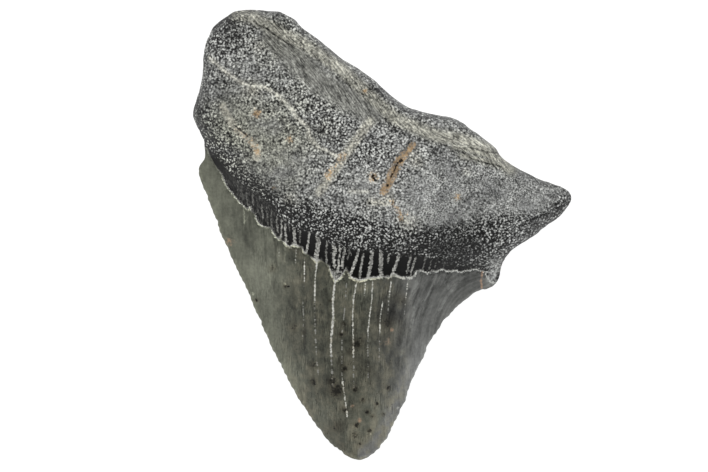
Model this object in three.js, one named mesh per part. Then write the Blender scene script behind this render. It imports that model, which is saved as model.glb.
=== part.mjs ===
// A fossil megalodon tooth, lying on its labial face with its lingual face up.
// Millimetres. +X runs to the right across the lingual face, +Y from the crown's tip
// to the root, +Z up. Lines on the tooth are lists of plan points [x, y].
import * as THREE from 'three';

// Driving dimensions of the body.
const TIP = [-5.8, -52.9];
const LEFT_SHOULDER = [-42.9, 16.2];
const RIGHT_SHOULDER = [26.0, -12.2];
const BLADE_HEIGHT = 3.0;
const ROOT_EDGE_HEIGHT = 6.6;
const BASAL_EDGE_HEIGHT = 9.4;
const LOBE_TIP_DROP = 3.8;
const CROWN_RISE = 12.4;
const CROWN_RISE_LENGTH = 21;
const CROWN_FULLNESS = 1.2;
const ROOT_FRONT_WIDTH = 7;
const BOURLETTE_RISE = 2.2;
const ENAMEL_STEP = 0.32;
const ROOT_LIP = 0.4;
const STEP_WIDTH = 0.6;
const OUTSIDE_REACH = 1000;

// Zones [from, to] over which one form passes into the next.
const BLADE_ZONE = [1, 4];
const SHOULDER_ZONE = [-1, 11];
const BASAL_ZONE = [14, 30];
const LOBE_TIP_ZONE = [30, 44];
const ROOT_ZONE = [0, 10];
const BAND_ZONE = [0, 1.4];
const STEP_ZONE = [-STEP_WIDTH / 2, STEP_WIDTH / 2];
const LABIAL_NECK_ZONE = [-2, 4];

// Roundness of the root's rim, seen in plan, and where its rings of points lie across it.
const LINGUAL_RIM_WIDTH = 4.2;
const LABIAL_RIM_WIDTH = 5.5;
const RIM_FULLNESS = 0.6;
const LINGUAL_RINGS = [0.025, 0.11, 0.27, 0.5, 0.78];
const LABIAL_RINGS = [0.03, 0.12, 0.28, 0.52];
const CROWN_RINGS = [0.5, 1.25];
const SETTLING_WIDTH = 3;

// Spacing of the surface points.
const OUTLINE_STEP = 0.95;
const LINGUAL_STEP = 1.5;
const LABIAL_STEP = 2.7;
const LINE_STEP = 1.2;
const LINE_HALF_GAP = 0.36;
const RIB_STEP = 1.1;
const CRACK_STEP = 0.7;
const RING_SPACING = 0.6;

// How near points may come to each other and to the rim, as shares of their spacing.
const NEAREST_SHARE = 0.72;
const RIM_SHARE = 0.6;
const WANDER_SHARE = 0.12;

// The outline of the root's basal margin, from the left lobe to the right lobe's tip.
const BASAL_MARGIN = [
  [-36.5, 51.2], [-34.6, 52.5], [-31.6, 52.8], [-26.7, 52.4], [-23.6, 51.9], [-21.0, 50.2],
  [-18.2, 47.9], [-14.5, 45.4], [-9.8, 41.5], [-5.5, 38.8], [-0.8, 35.1], [3.4, 31.6],
  [6.2, 29.9], [11.9, 28.3], [16.6, 27.3], [21.3, 24.4], [26.7, 20.4], [28.1, 18.1],
  [31.4, 15.8], [37.2, 12.9], [42.4, 10.7], [44.2, 9.0],
];

// The underside of the right lobe, from its tip in to the crown.
const RIGHT_ROOT_SIDE = [
  [44.1, 7.2], [41.9, 4.1], [39.4, 2.3], [34.0, -1.5], [30.0, -4.1], [28.7, -5.9],
  [28.0, -7.8], [27.4, -10.0],
];

// The concave right blade edge, from its shoulder to the tip.
const RIGHT_BLADE = [
  [26.5, -11.7], [25.0, -12.7], [23.1, -13.1], [19.9, -15.2], [16.1, -18.6], [12.8, -22.8],
  [10.0, -28.0], [7.4, -33.4], [5.3, -39.0], [2.9, -44.4], [0.6, -48.4], [-2.0, -51.5],
  [-3.9, -52.6], TIP,
];

// The long left blade edge, from the tip to its shoulder.
const LEFT_BLADE = [
  TIP, [-8.1, -52.2], [-10.7, -50.3], [-14.2, -46.5], [-18.2, -40.9], [-22.4, -33.4],
  [-26.9, -24.0], [-30.9, -14.6], [-34.4, -7.0], [-37.7, 0.5], [-40.8, 8.0], [-42.6, 12.7],
  [-43.1, 14.8], [-42.6, 16.4],
];

// The left side of the root, from the crown's shoulder up to the left lobe.
const LEFT_ROOT_SIDE = [
  [-41.6, 17.5], [-41.5, 19.3], [-41.8, 21.9], [-42.9, 24.3], [-43.9, 26.4], [-44.3, 28.2],
  [-44.1, 30.3], [-43.0, 33.8], [-42.2, 37.1], [-41.8, 41.6], [-40.9, 45.8], [-39.3, 48.7],
];

// The edge of the crown's enamel on the lingual face, with its hanging scallops.
const ENAMEL_LINE = [
  [-41.9, 17.3], [-39.2, 15.5], [-37.0, 12.6], [-34.6, 8.8], [-32.4, 6.4], [-29.9, 5.0],
  [-28.4, 2.2], [-26.0, 1.2], [-24.2, -1.2], [-21.4, -3.0], [-18.4, -3.2], [-16.8, -5.6],
  [-14.4, -6.5], [-12.2, -8.2], [-10.9, -11.2], [-8.6, -9.0], [-6.6, -10.6], [-3.6, -10.8],
  [0.6, -10.0], [5.0, -10.3], [9.4, -8.9], [13.6, -8.7], [15.4, -8.5], [19.2, -8.5],
  [22.0, -8.4], [24.2, -9.2], [25.4, -10.9], [26.6, -11.6],
];

// The top of the smooth dark band, where the root's granular surface ends.
const BOURLETTE_TOP = [
  [-41.4, 20.6], [-38.4, 18.0], [-34.3, 12.9], [-31.0, 10.6], [-26.0, 6.8], [-22.0, 2.6],
  [-16.0, 0.1], [-12.2, -2.2], [-6.7, -3.7], [-0.6, -4.0], [6.5, -4.9], [11.3, -5.9],
  [15.4, -7.0], [20.8, -7.2], [24.6, -7.0], [27.9, -7.4],
];

// The enamel's edge on the labial face stands nearer to the root than on the lingual face.
const LABIAL_ENAMEL_LINE = [
  [-42.6, 17.8], [-34.0, 15.5], [-22.0, 10.2], [-8.0, 7.2], [4.0, 2.6], [14.0, -3.4],
  [22.0, -9.0], [26.6, -11.0],
];

// How high the root's lingual face stands at some of its places: [x, y, z].
const ROOT_FACE_HEIGHTS = [
  [-33.0, 50.0, 14.4], [-22.0, 46.0, 15.4], [-10.0, 39.0, 16.4], [2.5, 27.7, 17.8],
  [12.8, 23.0, 17.6], [24.8, 19.6, 15.6], [35.0, 13.6, 12.8], [43.0, 9.0, 9.8],
  [-41.0, 44.0, 13.2], [-42.0, 34.0, 13.6], [-42.5, 26.0, 12.8], [-33.0, 38.0, 16.8],
  [-32.0, 24.0, 18.0], [-36.0, 18.0, 13.8], [-25.0, 15.0, 19.6], [-20.0, 30.0, 19.0],
  [-8.0, 24.0, 21.2], [-12.0, 12.0, 22.8], [0.0, 11.0, 24.4], [12.0, 9.0, 22.4],
  [-18.0, 5.0, 19.0], [-4.0, 2.0, 21.2], [10.0, 0.0, 19.6], [20.0, -1.0, 16.8],
  [27.0, -4.0, 12.8], [22.0, 10.0, 18.6], [32.0, 6.0, 15.0], [37.0, 3.0, 12.2],
];

// The rib along the basal side of the lingual face, and the smooth hollow beside it.
const BASAL_RIB = [
  [-33.3, 51.0], [-28.1, 49.2], [-22.2, 46.1], [-17.5, 44.1], [-13.7, 41.6], [-10.0, 38.9],
  [-5.8, 34.9], [-2.2, 31.8], [2.5, 27.7], [7.2, 25.1], [12.8, 23.0], [19.4, 21.7],
  [24.8, 19.4], [30.2, 15.4],
];
const BASAL_HOLLOW = [
  [-25.7, 46.6], [-22.2, 43.2], [-19.2, 39.5], [-14.9, 35.2], [-9.8, 32.0], [-4.6, 29.2],
  [0.6, 25.8],
];

// Low ribs that cross the root's face.
const LEFT_RIB = [
  [-40.2, 41.2], [-37.0, 38.5], [-33.0, 34.9], [-27.1, 34.4], [-24.0, 32.0], [-20.8, 28.4],
  [-17.5, 24.4], [-14.2, 20.2], [-10.0, 17.6],
];
const LOWER_LEFT_RIB = [[-37.7, 30.1], [-35.1, 25.5], [-31.8, 23.3], [-29.4, 20.4], [-28.1, 16.2]];
const DIAGONAL_RIB = [[-2.7, 26.3], [-7.9, 19.0], [-12.3, 12.9], [-15.6, 8.0]];
const ROOT_CRACK = [[7.9, 21.1], [6.2, 19.3], [4.6, 17.2], [2.9, 13.9], [1.3, 11.0]];
const LOBE_FOLD = [[17.5, 18.9], [22.6, 18.0], [28.0, 16.2], [33.6, 12.2]];

// Ridges (positive) and grooves (negative) along lines on the root.
const ROOT_LINES = [
  { line: BASAL_RIB, height: 0.8, width: 1.3 },
  { line: BASAL_HOLLOW, height: -1.5, width: 3.4 },
  { line: LEFT_RIB, height: 0.5, width: 1.2 },
  { line: LOWER_LEFT_RIB, height: 0.4, width: 1.3 },
  { line: DIAGONAL_RIB, height: 0.5, width: 1.6 },
  { line: ROOT_CRACK, height: -0.9, width: 0.8 },
  { line: LOBE_FOLD, height: -0.6, width: 1.1 },
];

// Single pits (negative) and lumps (positive) on the root.
const ROOT_SPOTS = [
  { at: [-1.9, 13.2], height: -1.1, width: 0.9 },
  { at: [3.9, 16.2], height: -0.5, width: 0.8 },
  { at: [-26.4, 28.4], height: -0.6, width: 0.9 },
  { at: [-31.5, 25.6], height: -0.6, width: 1.4 },
  { at: [-36.5, 33.0], height: 0.7, width: 3.0 },
  { at: [-22.0, 20.5], height: 0.6, width: 3.4 },
  { at: [13.5, 14.0], height: 0.6, width: 3.6 },
  { at: [34.0, 8.5], height: 0.5, width: 2.8 },
  { at: [-30.5, 45.0], height: 0.5, width: 2.6 },
];

// Flat places where the labial face rests, each an ellipse: the crown's belly and two lobes.
const REST_PADS = [
  { at: [-9, -24], radii: [8, 14], turn: -0.12, dip: 0.45 },
  { at: [-33, 31], radii: [6.5, 8], turn: 0, dip: 1.7 },
  { at: [28, 6], radii: [8, 5], turn: -0.4, dip: 1.9 },
];

// Low forms of the labial face, above the plane that it rests on.
const LABIAL_TIP_LENGTH = 9;
const LABIAL_FULLNESS = 0.9;
const LABIAL_ROOT_CLEARANCE = 0.8;
const LABIAL_FORMS = [
  { at: [0, 17], height: 1.5, width: 9 },
  { at: [-14, 32], height: 1.1, width: 7 },
  { at: [14, 12], height: 0.9, width: 7 },
  { at: [-20, 12], height: 0.8, width: 5 },
];
const LABIAL_ENAMEL_STEP = 0.3;

// Small chips and worn places in the blade edges.
const BLADE_CHIPS = [
  { at: [-29.7, -19.3], height: 0.4, width: 0.8 },
  { at: [-36.2, -2.2], height: 0.25, width: 1.4 },
  { at: [16.8, -17.4], height: 0.4, width: 0.9 },
  { at: [14.7, -20.2], height: 0.35, width: 0.8 },
  { at: [10.7, -26.1], height: 0.35, width: 0.9 },
  { at: [8.6, -31.7], height: 0.4, width: 0.9 },
  { at: [4.3, -40.7], height: 0.35, width: 0.9 },
];
const WEAR_DEPTH = 0.26;
const WEAR_LENGTH = 2.1;

// Layers of natural unevenness, each with the length of its waves.
const EDGE_WAVES = [{ height: 0.8, length: 13 }];
const LINGUAL_ROUGHNESS = [{ height: 0.34, length: 5.2 }, { height: 0.2, length: 2.7 }];
const LABIAL_ROUGHNESS = [{ height: 0.3, length: 5 }, { height: 0.16, length: 2.8 }];

const clamp = (value, low, high) => Math.min(high, Math.max(low, value));

const mix = (a, b, share) => a + (b - a) * share;

function smoothStep(from, to, value) {
  const share = clamp((value - from) / (to - from), 0, 1);
  return share * share * (3 - 2 * share);
}

// Plain value noise between -1 and 1, the same on every run.
function latticeValue(i, j) {
  const wave = Math.sin(i * 127.1 + j * 311.7) * 43758.5453;
  return 2 * (wave - Math.floor(wave)) - 1;
}

function noise(x, y) {
  const i = Math.floor(x);
  const j = Math.floor(y);
  const u = smoothStep(0, 1, x - i);
  const v = smoothStep(0, 1, y - j);
  const low = mix(latticeValue(i, j), latticeValue(i + 1, j), u);
  const high = mix(latticeValue(i, j + 1), latticeValue(i + 1, j + 1), u);
  return mix(low, high, v);
}

function unevenness(x, y, layers) {
  return layers.reduce((sum, { height, length }) => sum + height * noise(x / length, y / length), 0);
}

// A rounded hump of height 1 in the middle.
function hump(distance, width) {
  return Math.exp(-((distance / width) ** 2));
}

function humpsAt(x, y, spots) {
  const heights = spots.map(({ at, height, width }) => {
    return height * hump(Math.hypot(x - at[0], y - at[1]), width);
  });
  return heights.reduce((sum, height) => sum + height, 0);
}

// A smooth curve through plan points, as evenly spaced plan points.
function smoothLine(points, step, closed = false) {
  const knots = points.map(([x, y]) => new THREE.Vector3(x, y, 0));
  const curve = new THREE.CatmullRomCurve3(knots, closed, 'centripetal');
  curve.arcLengthDivisions = 40 * points.length;
  const count = Math.round(curve.getLength() / step);
  const spaced = curve.getSpacedPoints(count).map((point) => [point.x, point.y]);
  return closed ? spaced.slice(0, -1) : spaced;
}

function distanceToSegment(x, y, a, b) {
  const dx = b[0] - a[0];
  const dy = b[1] - a[1];
  const share = clamp(((x - a[0]) * dx + (y - a[1]) * dy) / (dx * dx + dy * dy), 0, 1);
  return Math.hypot(x - a[0] - share * dx, y - a[1] - share * dy);
}

function distanceToLine(x, y, line) {
  let nearest = Infinity;
  for (let i = 0; i + 1 < line.length; i += 1) {
    nearest = Math.min(nearest, distanceToSegment(x, y, line[i], line[i + 1]));
  }
  return nearest;
}

// The height of a left-to-right line at one x.
function lineAt(line, x) {
  const after = line.findIndex((point) => point[0] > x);
  if (after === 0) return line[0][1];
  if (after < 0) return line[line.length - 1][1];
  const [a, b] = [line[after - 1], line[after]];
  return mix(a[1], b[1], (x - a[0]) / (b[0] - a[0]));
}

// The distance to a left-to-right line, positive on the root's side of it.
function distanceAbove(x, y, line) {
  const distance = distanceToLine(x, y, line);
  return y > lineAt(line, x) ? distance : -distance;
}

// How far a point lies on the root's side of the line between the crown's shoulders.
function aboveShoulders(x, y) {
  const share = (x - LEFT_SHOULDER[0]) / (RIGHT_SHOULDER[0] - LEFT_SHOULDER[0]);
  return y - mix(LEFT_SHOULDER[1], RIGHT_SHOULDER[1], share);
}

function insideLoop(x, y, loop) {
  let inside = false;
  loop.forEach((a, i) => {
    const b = loop[(i + 1) % loop.length];
    const crosses = (a[1] > y) !== (b[1] > y);
    if (crosses && x < a[0] + ((y - a[1]) * (b[0] - a[0])) / (b[1] - a[1])) inside = !inside;
  });
  return inside;
}

function outwardNormal(loop, i) {
  const before = loop[(i + loop.length - 1) % loop.length];
  const after = loop[(i + 1) % loop.length];
  const length = Math.hypot(after[0] - before[0], after[1] - before[1]);
  return [(before[1] - after[1]) / length, (after[0] - before[0]) / length];
}

// How far the blade edge is worn back at a point, through wear and small chips.
function bladeWear(x, y, travelled) {
  const scallops = Math.max(0, noise(travelled / WEAR_LENGTH, 0.5));
  return WEAR_DEPTH * scallops + humpsAt(x, y, BLADE_CHIPS);
}

// The outline runs clockwise from the left lobe, with its blade edges worn.
function makeOutline() {
  const knots = [
    ...BASAL_MARGIN, ...RIGHT_ROOT_SIDE, ...RIGHT_BLADE, ...LEFT_BLADE.slice(1), ...LEFT_ROOT_SIDE,
  ];
  const loop = smoothLine(knots, OUTLINE_STEP, true);
  return loop.map(([x, y], i) => {
    const onBlade = smoothStep(...BLADE_ZONE, -aboveShoulders(x, y));
    const wear = onBlade * bladeWear(x, y, i * OUTLINE_STEP);
    const [nx, ny] = outwardNormal(loop, i);
    return [x - nx * wear, y - ny * wear];
  });
}

const outline = makeOutline();
const outlineRing = [...outline, outline[0]];
const leftSide = smoothLine([...LEFT_BLADE, ...LEFT_ROOT_SIDE], OUTLINE_STEP);
const rightSide = smoothLine([...RIGHT_ROOT_SIDE, ...RIGHT_BLADE], OUTLINE_STEP);
const enamelLine = smoothLine(ENAMEL_LINE, LINE_STEP / 2);
const bourletteTop = smoothLine(BOURLETTE_TOP, LINE_STEP / 2);
const labialEnamelLine = smoothLine(LABIAL_ENAMEL_LINE, LINE_STEP);

// Solves a small set of linear equations, each row holding its right side last.
function solve(rows) {
  const size = rows.length;
  for (let column = 0; column < size; column += 1) {
    const below = rows.slice(column).map((row) => Math.abs(row[column]));
    const pivot = column + below.indexOf(Math.max(...below));
    [rows[column], rows[pivot]] = [rows[pivot], rows[column]];
    rows.forEach((row, i) => {
      if (i === column) return;
      const factor = row[column] / rows[column][column];
      for (let k = column; k <= size; k += 1) row[k] -= factor * rows[column][k];
    });
  }
  return rows.map((row, i) => row[size] / row[i]);
}

// A thin plate bent through the given heights: the smooth form of the root's face.
function thinPlate(places) {
  const bend = (distance) => (distance > 0 ? distance * distance * Math.log(distance) : 0);
  const between = (a, b) => bend(Math.hypot(a[0] - b[0], a[1] - b[1]));
  const rows = places.map((a) => [...places.map((b) => between(a, b)), 1, a[0], a[1], a[2]]);
  const balance = [() => 1, (place) => place[0], (place) => place[1]];
  balance.forEach((value) => rows.push([...places.map(value), 0, 0, 0, 0]));
  const weights = solve(rows);
  const [level, slopeX, slopeY] = weights.slice(places.length);
  return (x, y) => {
    const bends = places.map((place, i) => weights[i] * between(place, [x, y]));
    return bends.reduce((sum, value) => sum + value, level + slopeX * x + slopeY * y);
  };
}

const rootFace = thinPlate(ROOT_FACE_HEIGHTS);

// Where a point lies across the tooth: -1 on its left side, 1 on its right side.
function acrossTooth(x, y) {
  const left = distanceToLine(x, y, leftSide);
  const right = distanceToLine(x, y, rightSide);
  return (left - right) / (left + right);
}

// The height of the edge where the two faces meet.
function edgeHeight(x, y) {
  const above = aboveShoulders(x, y);
  const basal = mix(ROOT_EDGE_HEIGHT, BASAL_EDGE_HEIGHT, smoothStep(...BASAL_ZONE, above));
  const lobeTip = LOBE_TIP_DROP * smoothStep(...LOBE_TIP_ZONE, x);
  const rootEdge = basal - lobeTip + unevenness(x, y, EDGE_WAVES);
  return mix(BLADE_HEIGHT, rootEdge, smoothStep(...SHOULDER_ZONE, above));
}

// A rounded rise, from 0 at the outline to 1 at the given distance inside it.
function rimRoundness(distance, width) {
  const left = 1 - Math.min(1, distance / width);
  return (1 - left * left) ** RIM_FULLNESS;
}

// The crown's bulging face, which goes on under the root and ends round at the basal margin.
function crownHeight(x, y, rim, aboveBand) {
  const fromTip = Math.max(0, y - TIP[1]);
  const rise = CROWN_RISE * (1 - Math.exp(-fromTip / CROWN_RISE_LENGTH));
  const bulge = (1 - acrossTooth(x, y) ** 2) ** CROWN_FULLNESS;
  const underRoot = smoothStep(...ROOT_ZONE, aboveBand);
  const roundness = mix(1, rimRoundness(rim, LINGUAL_RIM_WIDTH), underRoot);
  return edgeHeight(x, y) + rise * bulge * roundness;
}

function rootRelief(x, y) {
  const lines = ROOT_LINES.map(({ line, height, width }) => {
    return height * hump(distanceToLine(x, y, line), width);
  });
  const smooth = humpsAt(x, y, ROOT_SPOTS) + unevenness(x, y, LINGUAL_ROUGHNESS);
  return lines.reduce((sum, height) => sum + height, smooth);
}

// The lingual face: crown, then the bourlette's band, then the root.
function lingualHeight(x, y) {
  const rim = distanceToLine(x, y, outlineRing);
  const aboveEnamel = distanceAbove(x, y, enamelLine);
  const aboveBand = distanceAbove(x, y, bourletteTop);
  const crown = crownHeight(x, y, rim, aboveBand);
  if (aboveEnamel < -STEP_WIDTH) return crown;
  const inside = smoothStep(0, SETTLING_WIDTH, rim);
  const acrossBand = aboveBand > 0 ? 1 : aboveEnamel / (aboveEnamel - aboveBand);
  const band = inside * BOURLETTE_RISE * smoothStep(...BAND_ZONE, acrossBand);
  const enamelStep = inside * ENAMEL_STEP * smoothStep(...STEP_ZONE, aboveEnamel);
  const low = crown + band - enamelStep;
  if (aboveBand < -STEP_WIDTH) return low;
  const front = 1 - (1 - clamp(aboveBand / ROOT_FRONT_WIDTH, 0, 1)) ** 2;
  const lip = inside * ROOT_LIP * smoothStep(...STEP_ZONE, aboveBand);
  const root = rootFace(x, y) + rootRelief(x, y) * inside;
  return low + lip * (1 - front) + (root - low) * front * rimRoundness(rim, LINGUAL_RIM_WIDTH);
}

// How far a resting place draws the surface down at a point.
function padDip(x, y, pad) {
  const dx = x - pad.at[0];
  const dy = y - pad.at[1];
  const along = dx * Math.cos(pad.turn) + dy * Math.sin(pad.turn);
  const across = dy * Math.cos(pad.turn) - dx * Math.sin(pad.turn);
  const reach = Math.hypot(along / pad.radii[0], across / pad.radii[1]);
  return pad.dip * Math.exp(-(reach ** 3));
}

// The labial face: nearly flat, and on the plane z = 0 at its resting places.
function labialHeight(x, y) {
  const rim = distanceToLine(x, y, outlineRing);
  const aboveEnamel = distanceAbove(x, y, labialEnamelLine);
  const rootShare = smoothStep(...LABIAL_NECK_ZONE, aboveEnamel);
  const fromTip = 1 - Math.exp(-(y - TIP[1]) / LABIAL_TIP_LENGTH);
  const crownDepth = (1 - acrossTooth(x, y) ** 2) ** LABIAL_FULLNESS * fromTip;
  const depth = mix(crownDepth, rimRoundness(rim, LABIAL_RIM_WIDTH), rootShare);
  const step = LABIAL_ENAMEL_STEP * smoothStep(...STEP_ZONE, aboveEnamel);
  const rough = rootShare * (LABIAL_ROOT_CLEARANCE + unevenness(x, y, LABIAL_ROUGHNESS));
  const dips = REST_PADS.reduce((sum, pad) => sum + padDip(x, y, pad), 0);
  const relief = humpsAt(x, y, LABIAL_FORMS) + step + rough - dips;
  return Math.max(0, mix(edgeHeight(x, y), relief, depth));
}

// Collects plan points that keep a distance from those already there.
function makeCloud(fixed) {
  const points = [...fixed];
  const add = (x, y, spacing) => {
    const near = points.some((point) => Math.hypot(point[0] - x, point[1] - y) < spacing);
    if (!near) points.push([x, y]);
  };
  return { points, add };
}

// Adds a point that lies inside the outline, at least the given depth from it.
function addInside(cloud, [x, y], depth, spacing) {
  if (!insideLoop(x, y, outline)) return;
  if (distanceToLine(x, y, outlineRing) >= depth) cloud.add(x, y, spacing);
}

// A ring of points inside the outline, along its root or along its crown.
function addRing(cloud, inset, alongRoot) {
  const least = 0.9 * inset;
  outline.forEach(([x, y], i) => {
    if ((aboveShoulders(x, y) > 0) !== alongRoot) return;
    const [nx, ny] = outwardNormal(outline, i);
    addInside(cloud, [x - nx * inset, y - ny * inset], least, Math.min(RING_SPACING, least));
  });
}

function addRings(cloud, rimWidth, rootRings) {
  rootRings.forEach((share) => addRing(cloud, share * rimWidth, true));
  CROWN_RINGS.forEach((inset) => addRing(cloud, inset, false));
}

// Two rows of points, one on each side of a line where the surface steps.
function addStepRows(cloud, points) {
  const line = smoothLine(points, LINE_STEP);
  for (let i = 1; i + 1 < line.length; i += 1) {
    const dx = line[i + 1][0] - line[i - 1][0];
    const dy = line[i + 1][1] - line[i - 1][1];
    const scale = LINE_HALF_GAP / Math.hypot(dx, dy);
    [-scale, scale].forEach((side) => {
      const at = [line[i][0] - dy * side, line[i][1] + dx * side];
      addInside(cloud, at, 2 * LINE_HALF_GAP, LINE_HALF_GAP);
    });
  }
}

function addRow(cloud, points, spacing) {
  smoothLine(points, spacing).forEach((at) => {
    addInside(cloud, at, spacing * RIM_SHARE, spacing * NEAREST_SHARE);
  });
}

// Fills the outline with staggered rows, each point moved a little off its place.
function addFill(cloud, step) {
  const rowStep = step * Math.sqrt(0.75);
  const reach = Math.ceil(-TIP[1] / rowStep) + 1;
  for (let row = -reach; row <= reach; row += 1) {
    for (let column = -reach; column <= reach; column += 1) {
      const east = column + (row % 2) / 2 + WANDER_SHARE * latticeValue(row, column);
      const north = row + WANDER_SHARE * latticeValue(column, reach + row);
      addInside(cloud, [east * step, north * rowStep], step * RIM_SHARE, step * NEAREST_SHARE);
    }
  }
}

function circumcircle(points, a, b, c) {
  const [ax, ay] = points[a];
  const bx = points[b][0] - ax;
  const by = points[b][1] - ay;
  const cx = points[c][0] - ax;
  const cy = points[c][1] - ay;
  const twice = 2 * (bx * cy - by * cx);
  const ux = (cy * (bx * bx + by * by) - by * (cx * cx + cy * cy)) / twice;
  const uy = (bx * (cx * cx + cy * cy) - cx * (bx * bx + by * by)) / twice;
  return { corners: [a, b, c], x: ax + ux, y: ay + uy, squared: ux * ux + uy * uy };
}

// The edges around a set of triangles, each kept in its own turning direction.
function rimOf(triangles) {
  const rim = new Map();
  triangles.forEach(({ corners: [a, b, c] }) => {
    [[a, b], [b, c], [c, a]].forEach(([from, to]) => {
      if (!rim.delete(`${to} ${from}`)) rim.set(`${from} ${to}`, [from, to]);
    });
  });
  return [...rim.values()];
}

function middleOf(points, corners) {
  return [0, 1].map((axis) => corners.reduce((sum, corner) => sum + points[corner][axis], 0) / 3);
}

// Delaunay triangles of the plan points, turning counter-clockwise, inside the outline.
function triangulate(cloudPoints) {
  const far = OUTSIDE_REACH;
  const points = [...cloudPoints, [-far, -far], [far, -far], [0, far]];
  const count = cloudPoints.length;
  let triangles = [circumcircle(points, count, count + 1, count + 2)];
  for (let i = 0; i < count; i += 1) {
    const [x, y] = points[i];
    const holds = (t) => (x - t.x) ** 2 + (y - t.y) ** 2 < t.squared;
    const opened = triangles.filter(holds);
    triangles = triangles.filter((t) => !holds(t));
    rimOf(opened).forEach(([from, to]) => triangles.push(circumcircle(points, from, to, i)));
  }
  return triangles.map((t) => t.corners).filter((corners) => {
    const real = corners.every((corner) => corner < count);
    return real && insideLoop(...middleOf(points, corners), outline);
  });
}

// Triangulates one face. A triangle with all its corners on the outline gets a point inside.
function makeFace(cloud) {
  let triangles = triangulate(cloud.points);
  const thin = triangles.filter((corners) => corners.every((corner) => corner < outline.length));
  thin.forEach((corners) => cloud.points.push(middleOf(cloud.points, corners)));
  if (thin.length > 0) triangles = triangulate(cloud.points);
  return { points: cloud.points, triangles };
}

function makeLingualFace() {
  const cloud = makeCloud(outline);
  addRings(cloud, LINGUAL_RIM_WIDTH, LINGUAL_RINGS);
  addStepRows(cloud, ENAMEL_LINE);
  addStepRows(cloud, BOURLETTE_TOP);
  addRow(cloud, ROOT_CRACK, CRACK_STEP);
  ROOT_SPOTS.forEach(({ at }) => cloud.add(...at, CRACK_STEP));
  addRow(cloud, BASAL_RIB, RIB_STEP);
  addFill(cloud, LINGUAL_STEP);
  return makeFace(cloud);
}

function makeLabialFace() {
  const cloud = makeCloud(outline);
  addRings(cloud, LABIAL_RIM_WIDTH, LABIAL_RINGS);
  addStepRows(cloud, LABIAL_ENAMEL_LINE);
  addFill(cloud, LABIAL_STEP);
  return makeFace(cloud);
}

// Both faces share the outline's points, so they close into one solid.
function makeToothGeometry() {
  const lingual = makeLingualFace();
  const labial = makeLabialFace();
  const edge = outline.length;
  const positions = outline.map(([x, y]) => [x, y, edgeHeight(x, y)]);
  lingual.points.slice(edge).forEach(([x, y]) => positions.push([x, y, lingualHeight(x, y)]));
  const labialStart = positions.length - edge;
  labial.points.slice(edge).forEach(([x, y]) => positions.push([x, y, labialHeight(x, y)]));
  const under = (corner) => (corner < edge ? corner : corner + labialStart);
  const index = [
    ...lingual.triangles.flat(),
    ...labial.triangles.flatMap(([a, b, c]) => [under(c), under(b), under(a)]),
  ];
  const geometry = new THREE.BufferGeometry();
  geometry.setAttribute('position', new THREE.Float32BufferAttribute(positions.flat(), 3));
  geometry.setIndex(index);
  return geometry;
}

// Stands the middle of the tooth's box over the origin.
function centreInPlan(geometry) {
  geometry.computeBoundingBox();
  const middle = geometry.boundingBox.getCenter(new THREE.Vector3());
  geometry.translate(-middle.x, -middle.y, 0);
  geometry.computeVertexNormals();
  return geometry;
}

const fossil = new THREE.MeshStandardMaterial({ color: 0x66665f, roughness: 0.55, metalness: 0 });
const tooth = new THREE.Mesh(centreInPlan(makeToothGeometry()), fossil);
tooth.name = 'tooth';

const model = new THREE.Group();
model.add(tooth);

export default model;
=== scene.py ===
import math
from collections import namedtuple
from functools import partialmethod

import bpy
import numpy as np
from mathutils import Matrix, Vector, noise


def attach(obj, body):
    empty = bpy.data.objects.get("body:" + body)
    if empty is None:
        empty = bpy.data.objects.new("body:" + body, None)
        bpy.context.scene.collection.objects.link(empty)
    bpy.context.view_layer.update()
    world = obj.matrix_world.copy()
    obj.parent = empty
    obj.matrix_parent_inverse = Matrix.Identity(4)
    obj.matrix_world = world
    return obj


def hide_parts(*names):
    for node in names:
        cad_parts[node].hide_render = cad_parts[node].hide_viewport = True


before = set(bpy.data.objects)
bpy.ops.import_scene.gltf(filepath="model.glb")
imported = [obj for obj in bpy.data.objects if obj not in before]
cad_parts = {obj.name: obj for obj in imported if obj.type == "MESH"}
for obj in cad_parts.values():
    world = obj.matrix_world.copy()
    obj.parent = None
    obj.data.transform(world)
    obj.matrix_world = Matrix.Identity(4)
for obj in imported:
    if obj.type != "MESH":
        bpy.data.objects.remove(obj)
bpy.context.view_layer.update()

# A fossil shark tooth that lies on its labial face, seen from straight above its lingual face.
# Lengths are millimetres, in plan +X is right and +Y runs from the crown's tip to the root.
MM = 0.001

# The photograph's framing.
PHOTO_WIDTH = 708
MM_PER_PIXEL = 0.235
VIEW_CENTRE = (-6.46, -0.47)
VIEW_PLANE_HEIGHT = 6
LENS = 600
SENSOR_WIDTH = 36

# The fine mesh.
LOOP_STEPS = 2
SHARP_COSINE = 0.2
BLADE_ROUNDING = 0.55

# Waves of the surface: height, length (one or one for each axis) and where they are sampled.
ROOT_LUMPS = ((0.16, 2.7, 11), (0.1, 1.35, 37))
ENAMEL_WAVES = (0.035, (2.4, 21, 9), 71)
LABIAL_FOLDS = (0.09, (1.3, 26, 9), 53)
CHIPS = (0.4, 2.3, 31)
# Where the worn serrations of the blades show, in the same form, and their own size.
SERRATION_PATCHES = (1, 6, 5)
SERRATION_DEPTH = 0.2
SERRATION_LENGTH = 1.6

# How fast the fibres beside the rib lean away from it, and how flat the grain is on walls.
FIBRE_SLANT = 0.28
GRAIN_FLATNESS = 0.55

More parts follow.
